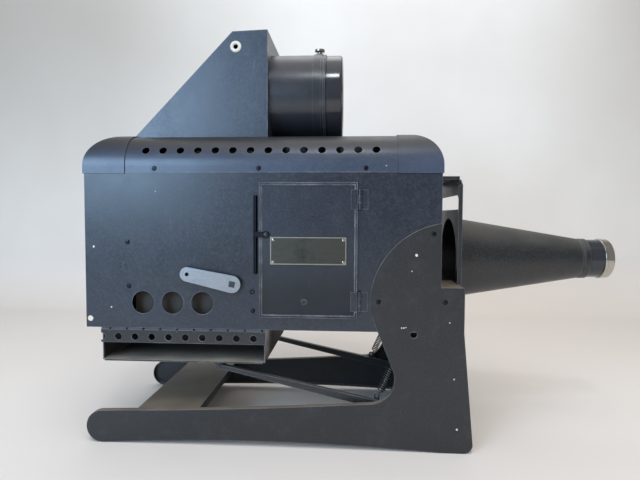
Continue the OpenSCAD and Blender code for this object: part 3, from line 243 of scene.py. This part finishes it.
def enamel(name, colour, rough=0.34, dust=0.35, wear_and_highlight=0.5, chips=(), dust_colour="5c5952", rub_and_highlight=1.4,
        top=None, speckle=0.09, shade=None):
    """Aged satin stove enamel: faintly pebbled, dusty on top, lighter at its edges, chipped to the primer.

    The edge width is in millimetres; lighter edges are partly abraded, partly a painted highlight. shade says
    where
    painted shade darkens the paint: the axis, where it begins and ends along that axis in metres, and its share
    at the end.
    """
    material, tree, shader, where = start(name)
    grain = noise(tree, where, GRAIN, 2)
    paint = coat(tree, where, colour, grain, speckle, top)
    patches = spread(tree, noise(tree, where, PATCH, 5), 0.2, 0.75, dust * 0.55, dust)
    settled = maths(tree, "MULTIPLY", facing_up(tree), patches)
    streak = noise(tree, where, STREAK, 4, 0.6, (1.0, 1.0, 0.6))
    satin = spread(tree, streak, 0.3, 0.75, rough - 0.02, rough + 0.04)
    satin = maths(tree, "ADD", satin, spread(tree, grain, 0.35, 0.7, -0.2 * speckle, 0.4 * speckle))
    # Painted shade: along the given axis the paint darkens towards near black, and there it holds less dust and
    # is duller.
    if shade:
        axis, begin, end, share = shade
        painted_shade = spread(tree, axes(tree, where)[axis], begin, end, 0, share)
        paint = blend_colour(tree, painted_shade, paint, PAINTED_SHADE_TONE)
        settled = maths(tree, "MULTIPLY", settled, maths(tree, "SUBTRACT", 1.0, painted_shade))
        satin = maths(tree, "ADD", satin, maths(tree, "MULTIPLY", painted_shade, 0.5))
    paint = blend_colour(tree, settled, paint, tone(dust_colour))
    put(tree, shader.inputs["Base Color"], worn_and_edge_lit(tree, where, paint, wear_and_highlight, rub_and_highlight, chips))
    put(tree, shader.inputs["Roughness"], maths(tree, "ADD", satin, maths(tree, "MULTIPLY", settled, 0.35)))
    shader.inputs["Specular IOR Level"].default_value = 0.68
    dents = bump(tree, noise(tree, where, DENT, 1), 0.35 * MM)
    put(tree, shader.inputs["Normal"], bump(tree, noise(tree, where, PEBBLE, 3), 0.045 * MM, dents))
    return material


def metal(name, colour, rough=0.3, scratch=0.5, stain=0.3, grain=(1.0, 1.0, 1.0), stain_colour="4a453d"):
    """Bare or plated metal with fine scratches along its grain, cloudy stains and uneven gloss."""
    material, tree, shader, where = start(name)
    cloud = noise(tree, where, STAIN, 5, 0.6)
    lines = noise(tree, where, SCRATCH, 4, 0.7, grain)
    base = blend_colour(tree, spread(tree, cloud, 0.45, 0.8, 0, stain), colour, tone(stain_colour))
    scored = spread(tree, lines, 0.35, 0.75, 0, 0.25 * scratch)
    put(tree, shader.inputs["Base Color"], blend_colour(tree, scored, base, shaded(colour, 0.55)))
    shader.inputs["Metallic"].default_value = 1.0
    dull = spread(tree, cloud, 0.3, 0.8, rough - 0.05, rough + 0.14)
    put(tree, shader.inputs["Roughness"], maths(tree, "ADD", dull, spread(tree, lines, 0.3, 0.8, 0, 0.12)))
    put(tree, shader.inputs["Normal"], bump(tree, lines, 0.02 * MM * scratch))
    return material


def gloss_black(name, colour, rough):
    """Glossy black lens-mount finish with hairline scratches and a few dust specks."""
    material, tree, shader, where = start(name)
    lines = noise(tree, where, HAIRLINE, 3, 0.7, (0.15, 1.0, 1.0))
    specks = spread(tree, noise(tree, where, SPECK, 1), 0.72, 0.8, 0, 0.3)
    put(tree, shader.inputs["Base Color"], blend_colour(tree, specks, colour, tone("8c8a85")))
    put(tree, shader.inputs["Roughness"], spread(tree, lines, 0.3, 0.8, rough, rough + 0.16))
    shader.inputs["Coat Weight"].default_value = 0.3
    shader.inputs["Coat Roughness"].default_value = 0.12
    put(tree, shader.inputs["Normal"], bump(tree, noise(tree, where, RIPPLE, 2), 0.03 * MM))
    return material


def glass(name, tint, rough=0.02):
    """Lens glass with a breath of haze and dust."""
    material, tree, shader, where = start(name)
    haze = noise(tree, where, HAZE, 4)
    shader.inputs["Transmission Weight"].default_value = 1.0
    shader.inputs["IOR"].default_value = 1.52
    misted = spread(tree, haze, 0.4, 0.8, 0, 0.2)
    put(tree, shader.inputs["Base Color"], blend_colour(tree, misted, tint, tone("c9cfc9")))
    put(tree, shader.inputs["Roughness"], spread(tree, haze, 0.4, 0.85, rough, rough + 0.08))
    return material


def moulded(name, colour, rough):
    """Moulded or glazed surface with a soft mottle."""
    material, tree, shader, where = start(name)
    mottle = noise(tree, where, MOTTLE, 4)
    stained = spread(tree, mottle, 0.4, 0.8, 0, 0.2)
    put(tree, shader.inputs["Base Color"], blend_colour(tree, stained, colour, shaded(colour, 0.6)))
    put(tree, shader.inputs["Roughness"], spread(tree, mottle, 0.3, 0.8, rough, rough + 0.15))
    put(tree, shader.inputs["Normal"], bump(tree, noise(tree, where, PEEL, 2), 0.02 * MM))
    return material


def silvered(name):
    """Old front-silvered mirror: bright, with some bloom."""
    material, tree, shader, where = start(name)
    bloom = noise(tree, where, BLOOM, 5)
    clouded = spread(tree, bloom, 0.5, 0.8, 0, 0.4)
    put(tree, shader.inputs["Base Color"], blend_colour(tree, clouded, tone("e4e8ea"), tone("9d978a")))
    shader.inputs["Metallic"].default_value = 1.0
    put(tree, shader.inputs["Roughness"], spread(tree, bloom, 0.4, 0.8, 0.03, 0.16))
    return material


casing_low, casing_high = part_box("casing_shell")
near_face = casing_low.y
stand_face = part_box("stand_plate_near")[0].y
cover_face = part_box("cover_centre")[0].y
pan_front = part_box("platen_pan")[0].y


def chip(x, y, z, radius):
    """A paint chip: x and radius in millimetres, x from the casing's rear, and y and z in metres."""
    return ((casing_low.x + x * MM, y, z), radius * MM)


# Places of the photograph's chips: x, height above the casing's floor or the table, radius, in millimetres.
casing_chips = [chip(x, near_face, casing_low.z + z * MM, radius) for x, z, radius in
    ((12.5, 115, 1.7), (6, 12.5, 4.4), (37, 29, 1.1), (103, 193, 0.8))]
cover_chips = [chip(424, cover_face, casing_high.z + 8.5 * MM, 0.9)]
stand_chips = [chip(x, stand_face, z * MM, radius) for x, z, radius in
    ((466, 274, 2.2), (460, 252, 1.0), (447, 174, 1.1), (450, 174, 1.3),
    (453, 174.5, 1.0), (512, 182, 0.9), (519, 104, 1.2), (524, 34, 1.5))]

SLATE = tone("18202d")
# Each paint's edge strength and width set how far its edges lighten: partly abraded paint, partly a painted
# highlight.
paints = {
    "casing_enamel": enamel("casing_enamel", SLATE, rough=0.31, wear_and_highlight=0.75, chips=casing_chips),
    # Painted reflection: the cover's sides take a lighter blue, and its top faces a darker grey.
    "cover_enamel": enamel("cover_enamel", tone("303c50"), rough=0.33, dust=0.2, wear_and_highlight=0.35,
        chips=cover_chips, dust_colour="3a3835", top="242528"),
    "hood_enamel": enamel("hood_enamel", tone("26303f"), rough=0.33, dust=0.3, wear_and_highlight=0.9, rub_and_highlight=1.7,
        speckle=0.14),
    "stand_enamel": enamel("stand_enamel", tone("15171a"), rough=0.45, dust=0.8, wear_and_highlight=0.55, speckle=0.06,
        chips=stand_chips, dust_colour="7d7161"),
    # Painted shade: the pan darkens towards its far side, in under the casing.
    "skirt_enamel": enamel("skirt_enamel", tone("1b1c1e"), rough=0.3, dust=0.9, wear_and_highlight=1.0,
        dust_colour="9a958b", shade=("Y", pan_front, pan_front + 0.08, 0.92)),
    # Painted highlight: the tabs' upward-sloping folds take a pale colour.
    "tab_enamel": enamel("tab_enamel", tone("12151a"), rough=0.34, dust=0.3, wear_and_highlight=0.9,
        dust_colour="9a958b", top="8a909a"),
    # Painted shade: the door darkens towards its bottom.
    "door_enamel": enamel("door_enamel", SLATE, rough=0.31, wear_and_highlight=1.0, rub_and_highlight=2.0,
        shade=("Z", casing_low.z + 0.15, casing_low.z + 0.04, 0.75)),
    "tube_enamel": enamel("tube_enamel", tone("1e222a"), rough=0.3, dust=0.12, wear_and_highlight=0.6, speckle=0.03),
    "stage_enamel": enamel("stage_enamel", tone("17191b"), rough=0.38, dust=0.5, wear_and_highlight=0.6),
    "arm_enamel": enamel("arm_enamel", tone("1a1c20"), rough=0.4, dust=0.4, wear_and_highlight=0.7),
    "inner_black": enamel("inner_black", tone("2a2620"), rough=0.6, dust=0.5),
    "lens_black": gloss_black("lens_black", tone("24272d"), rough=0.1),
    "screw_steel": metal("screw_steel", tone("303136"), rough=0.3, stain=0.5, stain_colour="141414"),
    "plain_steel": metal("plain_steel", tone("505256"), rough=0.34, stain=0.5, stain_colour="2a2826"),
    "spring_steel": metal("spring_steel", tone("6a6a6c"), rough=0.36, stain=0.6, stain_colour="201d1a"),
    "nickel": metal("nickel", tone("b9b6af"), rough=0.12, stain=0.35, grain=(0.2, 1.0, 1.0),
        stain_colour="6d675a"),
    "lever_alloy": metal("lever_alloy", tone("a3a5a8"), rough=0.36, scratch=1.0, stain=0.35,
        grain=(0.12, 1.0, 1.0), stain_colour="5e6064"),
    "plate_alloy": metal("plate_alloy", tone("55544e"), rough=0.45, scratch=0.5, stain=0.5,
        grain=(0.1, 1.0, 1.0), stain_colour="1f2021"),
    "border_alloy": metal("border_alloy", tone("a39f94"), rough=0.36, scratch=0.6, stain=0.4,
        stain_colour="59564f"),
    "mirror": silvered("mirror"),
    "lens_glass": glass("lens_glass", tone("e6eeee")),
    "bulb_glass": glass("bulb_glass", tone("f1f1ec"), rough=0.03),
    "ceramic": moulded("ceramic", tone("d9d4c6"), rough=0.25),
    "eyelet_white": moulded("eyelet_white", tone("c9c7c0"), rough=0.35),
    "inlet_brown": moulded("inlet_brown", tone("241d19"), rough=0.3),
}

# Pieces painted otherwise than the rest of their slot: the tabs with a painted highlight on their folds, the
# door with painted shade towards its bottom.
LOOKS = {"copy_skirt": "tab_enamel", "door_panel": "door_enamel"}
for part in frame["record"]["subparts"]:
    piece = nodes[part["node"]]
    piece.data.materials.clear()
    piece.data.materials.append(paints[LOOKS.get(part["node"], part["material_slot"])])


# ---- Mesh helpers ----
SMOOTH_ANGLE = math.radians(35)


def add_mesh(name, bm, body, slot, smooth=True, look=None):
    """Makes bm an object with a slot's material, or another look. It rides on a body where one is given."""
    mesh = bpy.data.meshes.new(name)
    bmesh.ops.recalc_face_normals(bm, faces=bm.faces)
    bm.to_mesh(mesh)
    bm.free()
    piece = bpy.data.objects.new(name, mesh)
    bpy.context.scene.collection.objects.link(piece)
    mesh.materials.append(paints[look or slot])
    if smooth:
        mesh.polygons.foreach_set("use_smooth", [True] * len(mesh.polygons))
        mesh.set_sharp_from_angle(angle=SMOOTH_ANGLE)
    if body:
        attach(piece, body)
    return piece


def circle(count, first=0, last=None):
    """Angles of a full turn in count steps, from step first to before last."""
    return [2 * math.pi * k / count for k in range(first, count if last is None else last)]


def skin(bm, rings):
    """Faces between each ring of vertices and the next."""
    for a, b in zip(rings, rings[1:]):
        for k in range(len(a)):
            after = (k + 1) % len(a)
            bm.faces.new((a[k], a[after], b[after], b[k]))


def islands(bm):
    """Each group of vertices that hangs together."""
    left = set(bm.verts)
    while left:
        group, edge = set(), [left.pop()]
        while edge:
            v = edge.pop()
            group.add(v)
            for e in v.link_edges:
                other = e.other_vert(v)
                if other in left:
                    left.discard(other)
                    edge.append(other)
        yield group


def solids(node):
    """(low corner, high corner) of each separate solid in a CAD node."""
    bm = bmesh.new()
    bm.from_mesh(nodes[node].data)
    bmesh.ops.remove_doubles(bm, verts=bm.verts, dist=1e-6)
    boxes = []
    for group in islands(bm):
        columns = list(zip(*(v.co for v in group)))
        boxes.append((Vector([min(c) for c in columns]), Vector([max(c) for c in columns])))
    bm.free()
    return sorted(boxes, key=lambda b: tuple(round(c, 5) for c in b[0]))


def tube(bm, points, radius, sides):
    """Sweeps a round wire along points, with closed ends."""
    across = (points[1] - points[0]).orthogonal().normalized()
    rings = []
    for i, p in enumerate(points):
        ahead = (points[min(i + 1, len(points) - 1)] - points[max(i - 1, 0)]).normalized()
        across = (across - ahead * across.dot(ahead)).normalized()
        other = ahead.cross(across)
        rings.append([bm.verts.new(p + (across * math.cos(t) + other * math.sin(t)) * radius)
            for t in circle(sides)])
    skin(bm, rings)
    bm.faces.new(rings[0][::-1])
    bm.faces.new(rings[-1])


# ---- Screws ----
RIM = 0.18          # straight rim of a head, as a share of its height
SLOT_HALF = 0.14    # half the slot's width, as a share of the head's radius
SLOT_REACH = 0.97   # how far the slot's floor reaches, as a share of the head's radius
SLOT_FLOOR = 0.45   # height of the slot's floor, as a share of the head's height


def domed_disc(radius, height):
    """Screw head without its slot: a low dome over a straight rim."""
    disc = bmesh.new()
    rings, sides = 7, 28
    angles = [math.pi / 2 * k / rings for k in range(1, rings)]
    profile = [(1.0, 0.0), (1.0, RIM)] + [(math.cos(a), RIM + (1 - RIM) * math.sin(a)) for a in angles]
    loops = [[disc.verts.new((radius * r * math.cos(t), radius * r * math.sin(t), height * h))
        for t in circle(sides)] for r, h in profile]
    skin(disc, loops)
    disc.faces.new(loops[-1])
    disc.faces.new(loops[0][::-1])
    return disc


def slotted_head(bm, centre, out, radius, height, turn):
    """Domed screw head with a slot, rising along out from centre."""
    half = radius * SLOT_HALF
    upright = Vector((0, 0, 1)).rotation_difference(out).to_matrix().to_4x4()
    turned = Matrix.Translation(centre) @ upright @ Matrix.Rotation(turn, 4, "Z")
    for side in (1, -1):
        cheek = domed_disc(radius, height)
        cut = bmesh.ops.bisect_plane(cheek, geom=cheek.verts[:] + cheek.edges[:] + cheek.faces[:],
            plane_co=(side * half, 0, 0), plane_no=(-side, 0, 0), clear_outer=True)
        rim = [e for e in cut["geom_cut"] if isinstance(e, bmesh.types.BMEdge)]
        bmesh.ops.holes_fill(cheek, edges=rim)
        copy_into(bm, cheek, turned)
        cheek.free()
    reach = radius * SLOT_REACH
    corners = ((-half, -reach), (half, -reach), (half, reach), (-half, reach))
    low, high = [[bm.verts.new(turned @ Vector((x, y, z))) for x, y in corners]
        for z in (0.0, height * SLOT_FLOOR)]
    bm.faces.new(low[::-1])
    bm.faces.new(high)
    skin(bm, [low, high])


def copy_into(bm, source, place):
    """Copies one bmesh into another at a place."""
    made = {v: bm.verts.new(place @ v.co) for v in source.verts}
    for f in source.faces:
        bm.faces.new([made[v] for v in f.verts])


def screws(name, node, body, slot):
    """Slotted heads in place of a node's plain ones.

    A head faces away from the node's middle, or from the part's middle plane where all its heads are in one
    plane, and each slot stands at its own angle.
    """
    bm = bmesh.new()
    node_low, node_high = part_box(node)
    for i, (low, high) in enumerate(solids(node)):
        size = high - low
        axis = min(range(3), key=lambda k: size[k])
        centre = (low + high) / 2
        in_one_plane = size[axis] >= (node_high - node_low)[axis] * 0.9
        middle = 0 if in_one_plane else ((node_low + node_high) / 2)[axis]
        side = 1 if centre[axis] > middle else -1
        out = Vector([side if k == axis else 0 for k in range(3)])
        centre[axis] = low[axis] if side > 0 else high[axis]
        slot_turn = 0.6 + 1.9 * i
        slotted_head(bm, centre, out, max(size) / 2, size[axis], slot_turn)
    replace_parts(add_mesh(name, bm, body, slot), node)


screws("cover_screw_heads", "cover_screws", "lantern", "screw_steel")
screws("stand_screw_heads", "stand_screws", "lantern", "screw_steel")
screws("plate_screw_heads", "name_plate_screws", "door", "nickel")


# ---- Name plate ----
def border_rings(half):
    """Outer and inner outline of the plate's border: square outside, rounded in round the corner screws."""
    edge, wide, round_in, steps = 0.4 * MM, 1.5 * MM, 3.4 * MM, 8
    outer, inner = [], []
    for corner, (sx, sz) in enumerate(((1, 1), (-1, 1), (-1, -1), (1, -1))):
        out_x, out_z = sx * (half.x - edge), sz * (half.z - edge)
        in_x, in_z = out_x - sx * wide, out_z - sz * wide
        for k in range(steps + 1):
            a = math.pi / 2 * (k if corner % 2 else steps - k) / steps
            inner.append((in_x - sx * round_in * math.cos(a), in_z - sz * round_in * math.sin(a)))
            outer.append((out_x, out_z))
    return outer, inner


def plate_border():
    """Raised bright border of the bare name plate."""
    low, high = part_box("name_plate")
    centre, half = (low + high) / 2, (high - low) / 2
    outer, inner = border_rings(half)
    bm = bmesh.new()
    front, back = low.y - 0.25 * MM, low.y + 0.05 * MM
    skin(bm, [[bm.verts.new((centre.x + x, y, centre.z + z)) for x, z in ring]
        for ring, y in ((outer, back), (outer, front), (inner, front), (inner, back))])
    bmesh.ops.remove_doubles(bm, verts=bm.verts, dist=1e-7)
    bmesh.ops.dissolve_degenerate(bm, edges=bm.edges, dist=1e-7)
    add_mesh("name_plate_border", bm, "door", "nickel", smooth=False, look="border_alloy")


plate_border()


# ---- Springs ----
WIRE, COIL, PITCH = 0.95 * MM, 4.6 * MM, 3.0 * MM   # wire radius, coil radius, rise of a turn
EYE, LOOP = 2.9 * MM, 4.0 * MM                      # radius of the lower eye and of the upper loop
EYE_NECK, LOOP_NECK = 1.2 * MM, 3.0 * MM            # wire between them and the coils
WIRE_SIDES, TURN_STEPS, LOOP_STEPS = 8, 18, 24
EYE_RANGE, LOOP_RANGE = (3, 25), (0, 22)            # steps of a full turn that the eye and the loop take
FOOT_IN, TOP_IN = Vector((4.0, 0, 1.1)) * MM, Vector((5.1, 0, 5.1)) * MM    # from the node's corners


def spring_path(foot, top):
    """Centre line of the wire: an eye round foot, the coils and a loop round top."""
    axis = (top - foot).normalized()
    flat, side = Vector((axis.z, 0, -axis.x)), Vector((0, 1, 0))
    begin = 2 * EYE + EYE_NECK
    end = (top - foot).length - LOOP - LOOP_NECK
    steps = TURN_STEPS * int((end - begin) / PITCH)
    points = [foot + axis * (EYE + EYE * math.cos(a)) + side * EYE * math.sin(a)
        for a in circle(LOOP_STEPS, *EYE_RANGE)]
    for k in range(steps + 1):
        a = 2 * math.pi * k / TURN_STEPS
        reach = COIL * min(1.0, 2 * k / TURN_STEPS, 2 * (steps - k) / TURN_STEPS)
        round_axis = flat * math.sin(a) + side * math.cos(a)
        points.append(foot + axis * (begin + (end - begin) * k / steps) + round_axis * reach)
    return points + [top + (axis * -math.cos(a) + flat * math.sin(a)) * LOOP
        for a in circle(LOOP_STEPS, *LOOP_RANGE)]


def platen_spring(name, node):
    """Helical extension spring, stretched between the arm's eye and the stud."""
    low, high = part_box(node)
    foot, top = low + FOOT_IN, high - TOP_IN
    foot.y = top.y = (low.y + high.y) / 2
    bm = bmesh.new()
    tube(bm, spring_path(foot, top), WIRE, WIRE_SIDES)
    piece = add_mesh(name, bm, None, "spring_steel")
    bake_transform(piece)
    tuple(foot)
    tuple(top)
    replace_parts(piece, node)


platen_spring("spring_near", "platen_spring_near")
platen_spring("spring_far", "platen_spring_far")


# ---- Lamp filament ----
def at(centre, x, y, z):
    """A point x, y and z millimetres from centre."""
    return centre + Vector((x, y, z)) * MM


def filament():
    """Coiled filament on a stem and four support wires inside the globe lamp, in millimetres."""
    low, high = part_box("lamp_bulb")
    globe_radius = (high.x - low.x) / 2
    centre = Vector(((low.x + high.x) / 2, (low.y + high.y) / 2, high.z - globe_radius))
    base = Vector((centre.x, centre.y, low.z + 14 * MM))
    bm = bmesh.new()
    reach, deep, tall, stem = 9, 4, 5, 24
    tube(bm, [base, at(base, 0, 0, stem)], 3.2 * MM, 12)
    for s in (-1, 1):
        for y in (-deep, deep):
            foot, tip = at(base, 2 * s, y / 3, stem - 1), at(centre, reach * s, y, tall + 1)
            tube(bm, [foot, at(foot.lerp(tip, 0.5), 2 * s, 0, 0), tip], 0.4 * MM, 6)
    turns, turn_steps = 9, 12
    steps = turns * turn_steps
    turn = 2 * math.pi / turn_steps
    coil = [at(centre, reach * (2 * k / steps - 1), deep * math.sin(turn * k), tall * math.cos(turn * k))
        for k in range(steps + 1)]
    tube(bm, coil, 0.35 * MM, 6)
    add_mesh("lamp_filament", bm, "lantern", "plain_steel")


filament()


# ---- Edges ----
# Width of the rounding on each node's sharp edges, in millimetres.
EDGE = {
    "door_panel": 0.7, "casing_shell": 0.5, "hood_shell": 1.1, "cover_centre": 0.3, "name_plate": 0.25,
    "stand_plate_near": 0.6, "stand_plate_far": 0.6, "stand_front_cover": 0.6, "stand_tie_plate": 0.4,
    "copy_skirt": 0.35, "platen_pan": 0.4, "platen_arms": 0.3, "mirror_lever": 0.5, "latch_tongue": 0.3,
    "stage_plate": 0.4, "stage_bracket": 0.4, "slide_bezel": 0.3, "opaque_tube": 0.3, "opaque_barrel": 0.5,
    "thumb_screw": 0.3, "hinge_door_leaves": 0.2, "hinge_fixed_leaves": 0.2,
}


def soften(node, width):
    """Rounds a node's sharp edges by width millimetres and keeps its flats flat."""
    shape = nodes[node]
    weld = shape.modifiers.new("weld", "WELD")
    weld.merge_threshold = 1e-6
    merge = shape.modifiers.new("merge", "DECIMATE")
    merge.decimate_type = "DISSOLVE"
    merge.angle_limit = math.radians(0.5)
    bevel = shape.modifiers.new("edges", "BEVEL")
    bevel.width = width * MM
    bevel.segments = 2
    bevel.limit_method = "ANGLE"
    bevel.angle_limit = math.radians(40)
    flat = shape.modifiers.new("flats", "WEIGHTED_NORMAL")
    flat.mode = "FACE_AREA"
    flat.weight = 100
    flat.keep_sharp = True


for node, width in EDGE.items():
    soften(node, width)


# ---- Floor, light and camera ----
def one_sided(tree, surface):
    """Lets a camera that stands behind or below the cloth see through it."""
    camera_ray = tree.nodes.new("ShaderNodeLightPath").outputs["Is Camera Ray"]
    back = tree.nodes.new("ShaderNodeNewGeometry").outputs["Backfacing"]
    mix = tree.nodes.new("ShaderNodeMixShader")
    put(tree, mix.inputs[0], maths(tree, "MULTIPLY", camera_ray, back))
    put(tree, mix.inputs[1], surface)
    put(tree, mix.inputs[2], tree.nodes.new("ShaderNodeBsdfTransparent").outputs[0])
    put(tree, tree.nodes["Material Output"].inputs["Surface"], mix.outputs[0])


def cloth():
    """Pale backing cloth with painted shade high up at its two sides."""
    material, tree, shader, where = start("floor_cloth")
    place = axes(tree, where)
    # Painted shade: the cloth darkens towards its upper left and upper right.
    high = spread(tree, place["Z"], 0.1, 1.1)
    left, right = spread(tree, place["X"], -0.1, -1.0), spread(tree, place["X"], 0.5, 1.2)
    corner = maths(tree, "MULTIPLY", high, maths(tree, "MAXIMUM", left, right))
    weave = spread(tree, noise(tree, where, 3, 3), 0.3, 0.7)
    wall = blend_colour(tree, weave, tone("dfddda"), tone("e4e3e1"))
    pale = blend_colour(tree, spread(tree, place["Z"], 0.0, 0.25), tone("dad4cf"), wall)
    colour = blend_colour(tree, maths(tree, "MULTIPLY", corner, 0.75), pale, tone("a8a49c"))
    put(tree, shader.inputs["Base Color"], colour)
    shader.inputs["Roughness"].default_value = 0.9
    put(tree, shader.inputs["Normal"], bump(tree, noise(tree, where, 5, 2), 4 * MM))
    one_sided(tree, shader.outputs[0])
    return material


def backdrop():
    """Pale floor that curves up into a pale wall."""
    bm = bmesh.new()
    wall_y, bend, front, half, top, steps = 1.0, 0.18, -2.4, 6.0, 3.2, 12
    side = [(front, 0.0), (wall_y - bend, 0.0)]
    for k in range(1, steps + 1):
        a = math.pi / 2 * k / steps
        side.append((wall_y - bend + bend * math.sin(a), bend - bend * math.cos(a)))
    side.append((wall_y, top))
    rows = [[bm.verts.new((x, y, z)) for x in (-half, half)] for y, z in side]
    for a, b in zip(rows, rows[1:]):
        bm.faces.new((a[0], a[1], b[1], b[0]))
    mesh = bpy.data.meshes.new("floor")
    bm.to_mesh(mesh)
    bm.free()
    mesh.polygons.foreach_set("use_smooth", [True] * len(mesh.polygons))
    floor = bpy.data.objects.new("floor", mesh)
    bpy.context.scene.collection.objects.link(floor)
    mesh.materials.append(cloth())


def area_light(name, place, aim, size, power, colour, mirrored=True):
    """Square light. Where mirrored is False it lights surfaces but isn't seen in their gloss."""
    data = bpy.data.lights.new(name, "AREA")
    data.shape = "SQUARE"
    data.size = size
    data.energy = power
    data.color = colour
    light = bpy.data.objects.new(name, data)
    light.location = place
    light.rotation_euler = (Vector(aim) - Vector(place)).to_track_quat("-Z", "Y").to_euler()
    light.visible_glossy = mirrored
    bpy.context.scene.collection.objects.link(light)


backdrop()
area_light("window", (-1.25, -1.8, 0.88), (-0.25, 0, 0.42), 0.95, 28, (0.46, 0.71, 1.0))
area_light("strip_lamp", (-0.05, -1.2, 2.0), (-0.05, 0, 0.5), 0.22, 5.5, (0.88, 0.94, 1.0))
area_light("fill", (0.5, -1.8, 1.3), (0.1, 0, 0.1), 1.8, 17, (1.0, 0.95, 0.9), False)
area_light("rear_fill", (-0.3, 0.8, 1.7), (0, 0.1, 0.3), 1.0, 4, (0.92, 0.96, 1.0))
area_light("ceiling", (0.1, -0.2, 2.6), (0, 0.1, 0.2), 2.2, 12, (1.0, 0.95, 0.88))
area_light("wall_wash", (0.0, -0.9, 2.4), (0, 1.0, 0.5), 2.0, 23, (1.0, 0.98, 0.96), False)


def studio_air():
    """Faint even light from all round."""
    world = bpy.data.worlds.new("studio")
    world.use_nodes = True
    background = world.node_tree.nodes["Background"]
    background.inputs["Color"].default_value = (1.0, 0.99, 0.98, 1.0)
    background.inputs["Strength"].default_value = 0.31
    bpy.context.scene.world = world


def camera():
    """Camera at the photograph's place: eye point in millimetres, then turn, dip and roll in radians.

    The lens gives the fitted focal length of 498 pixels across a frame of 640.
    """
    eye = Vector((-10.05, -804.35, 326.4)) * MM
    turn, dip, roll = 0.0632, 0.0476, 0.0041
    ahead = Vector((-math.sin(turn) * math.cos(dip), math.cos(turn) * math.cos(dip), -math.sin(dip)))
    right = Vector((math.cos(turn), math.sin(turn), 0))
    up = right.cross(ahead)
    across = right * math.cos(roll) + up * math.sin(roll)
    above = up * math.cos(roll) - right * math.sin(roll)
    data = bpy.data.cameras.new("camera")
    data.sensor_width = 36
    data.lens = 28.0
    seen = bpy.data.objects.new("camera", data)
    facing = Matrix((across, above, -ahead)).transposed().to_4x4()
    seen.matrix_world = Matrix.Translation(eye) @ facing
    bpy.context.scene.collection.objects.link(seen)
    bpy.context.scene.camera = seen


studio_air()
bpy.context.scene.view_settings.view_transform = "Standard"
camera()
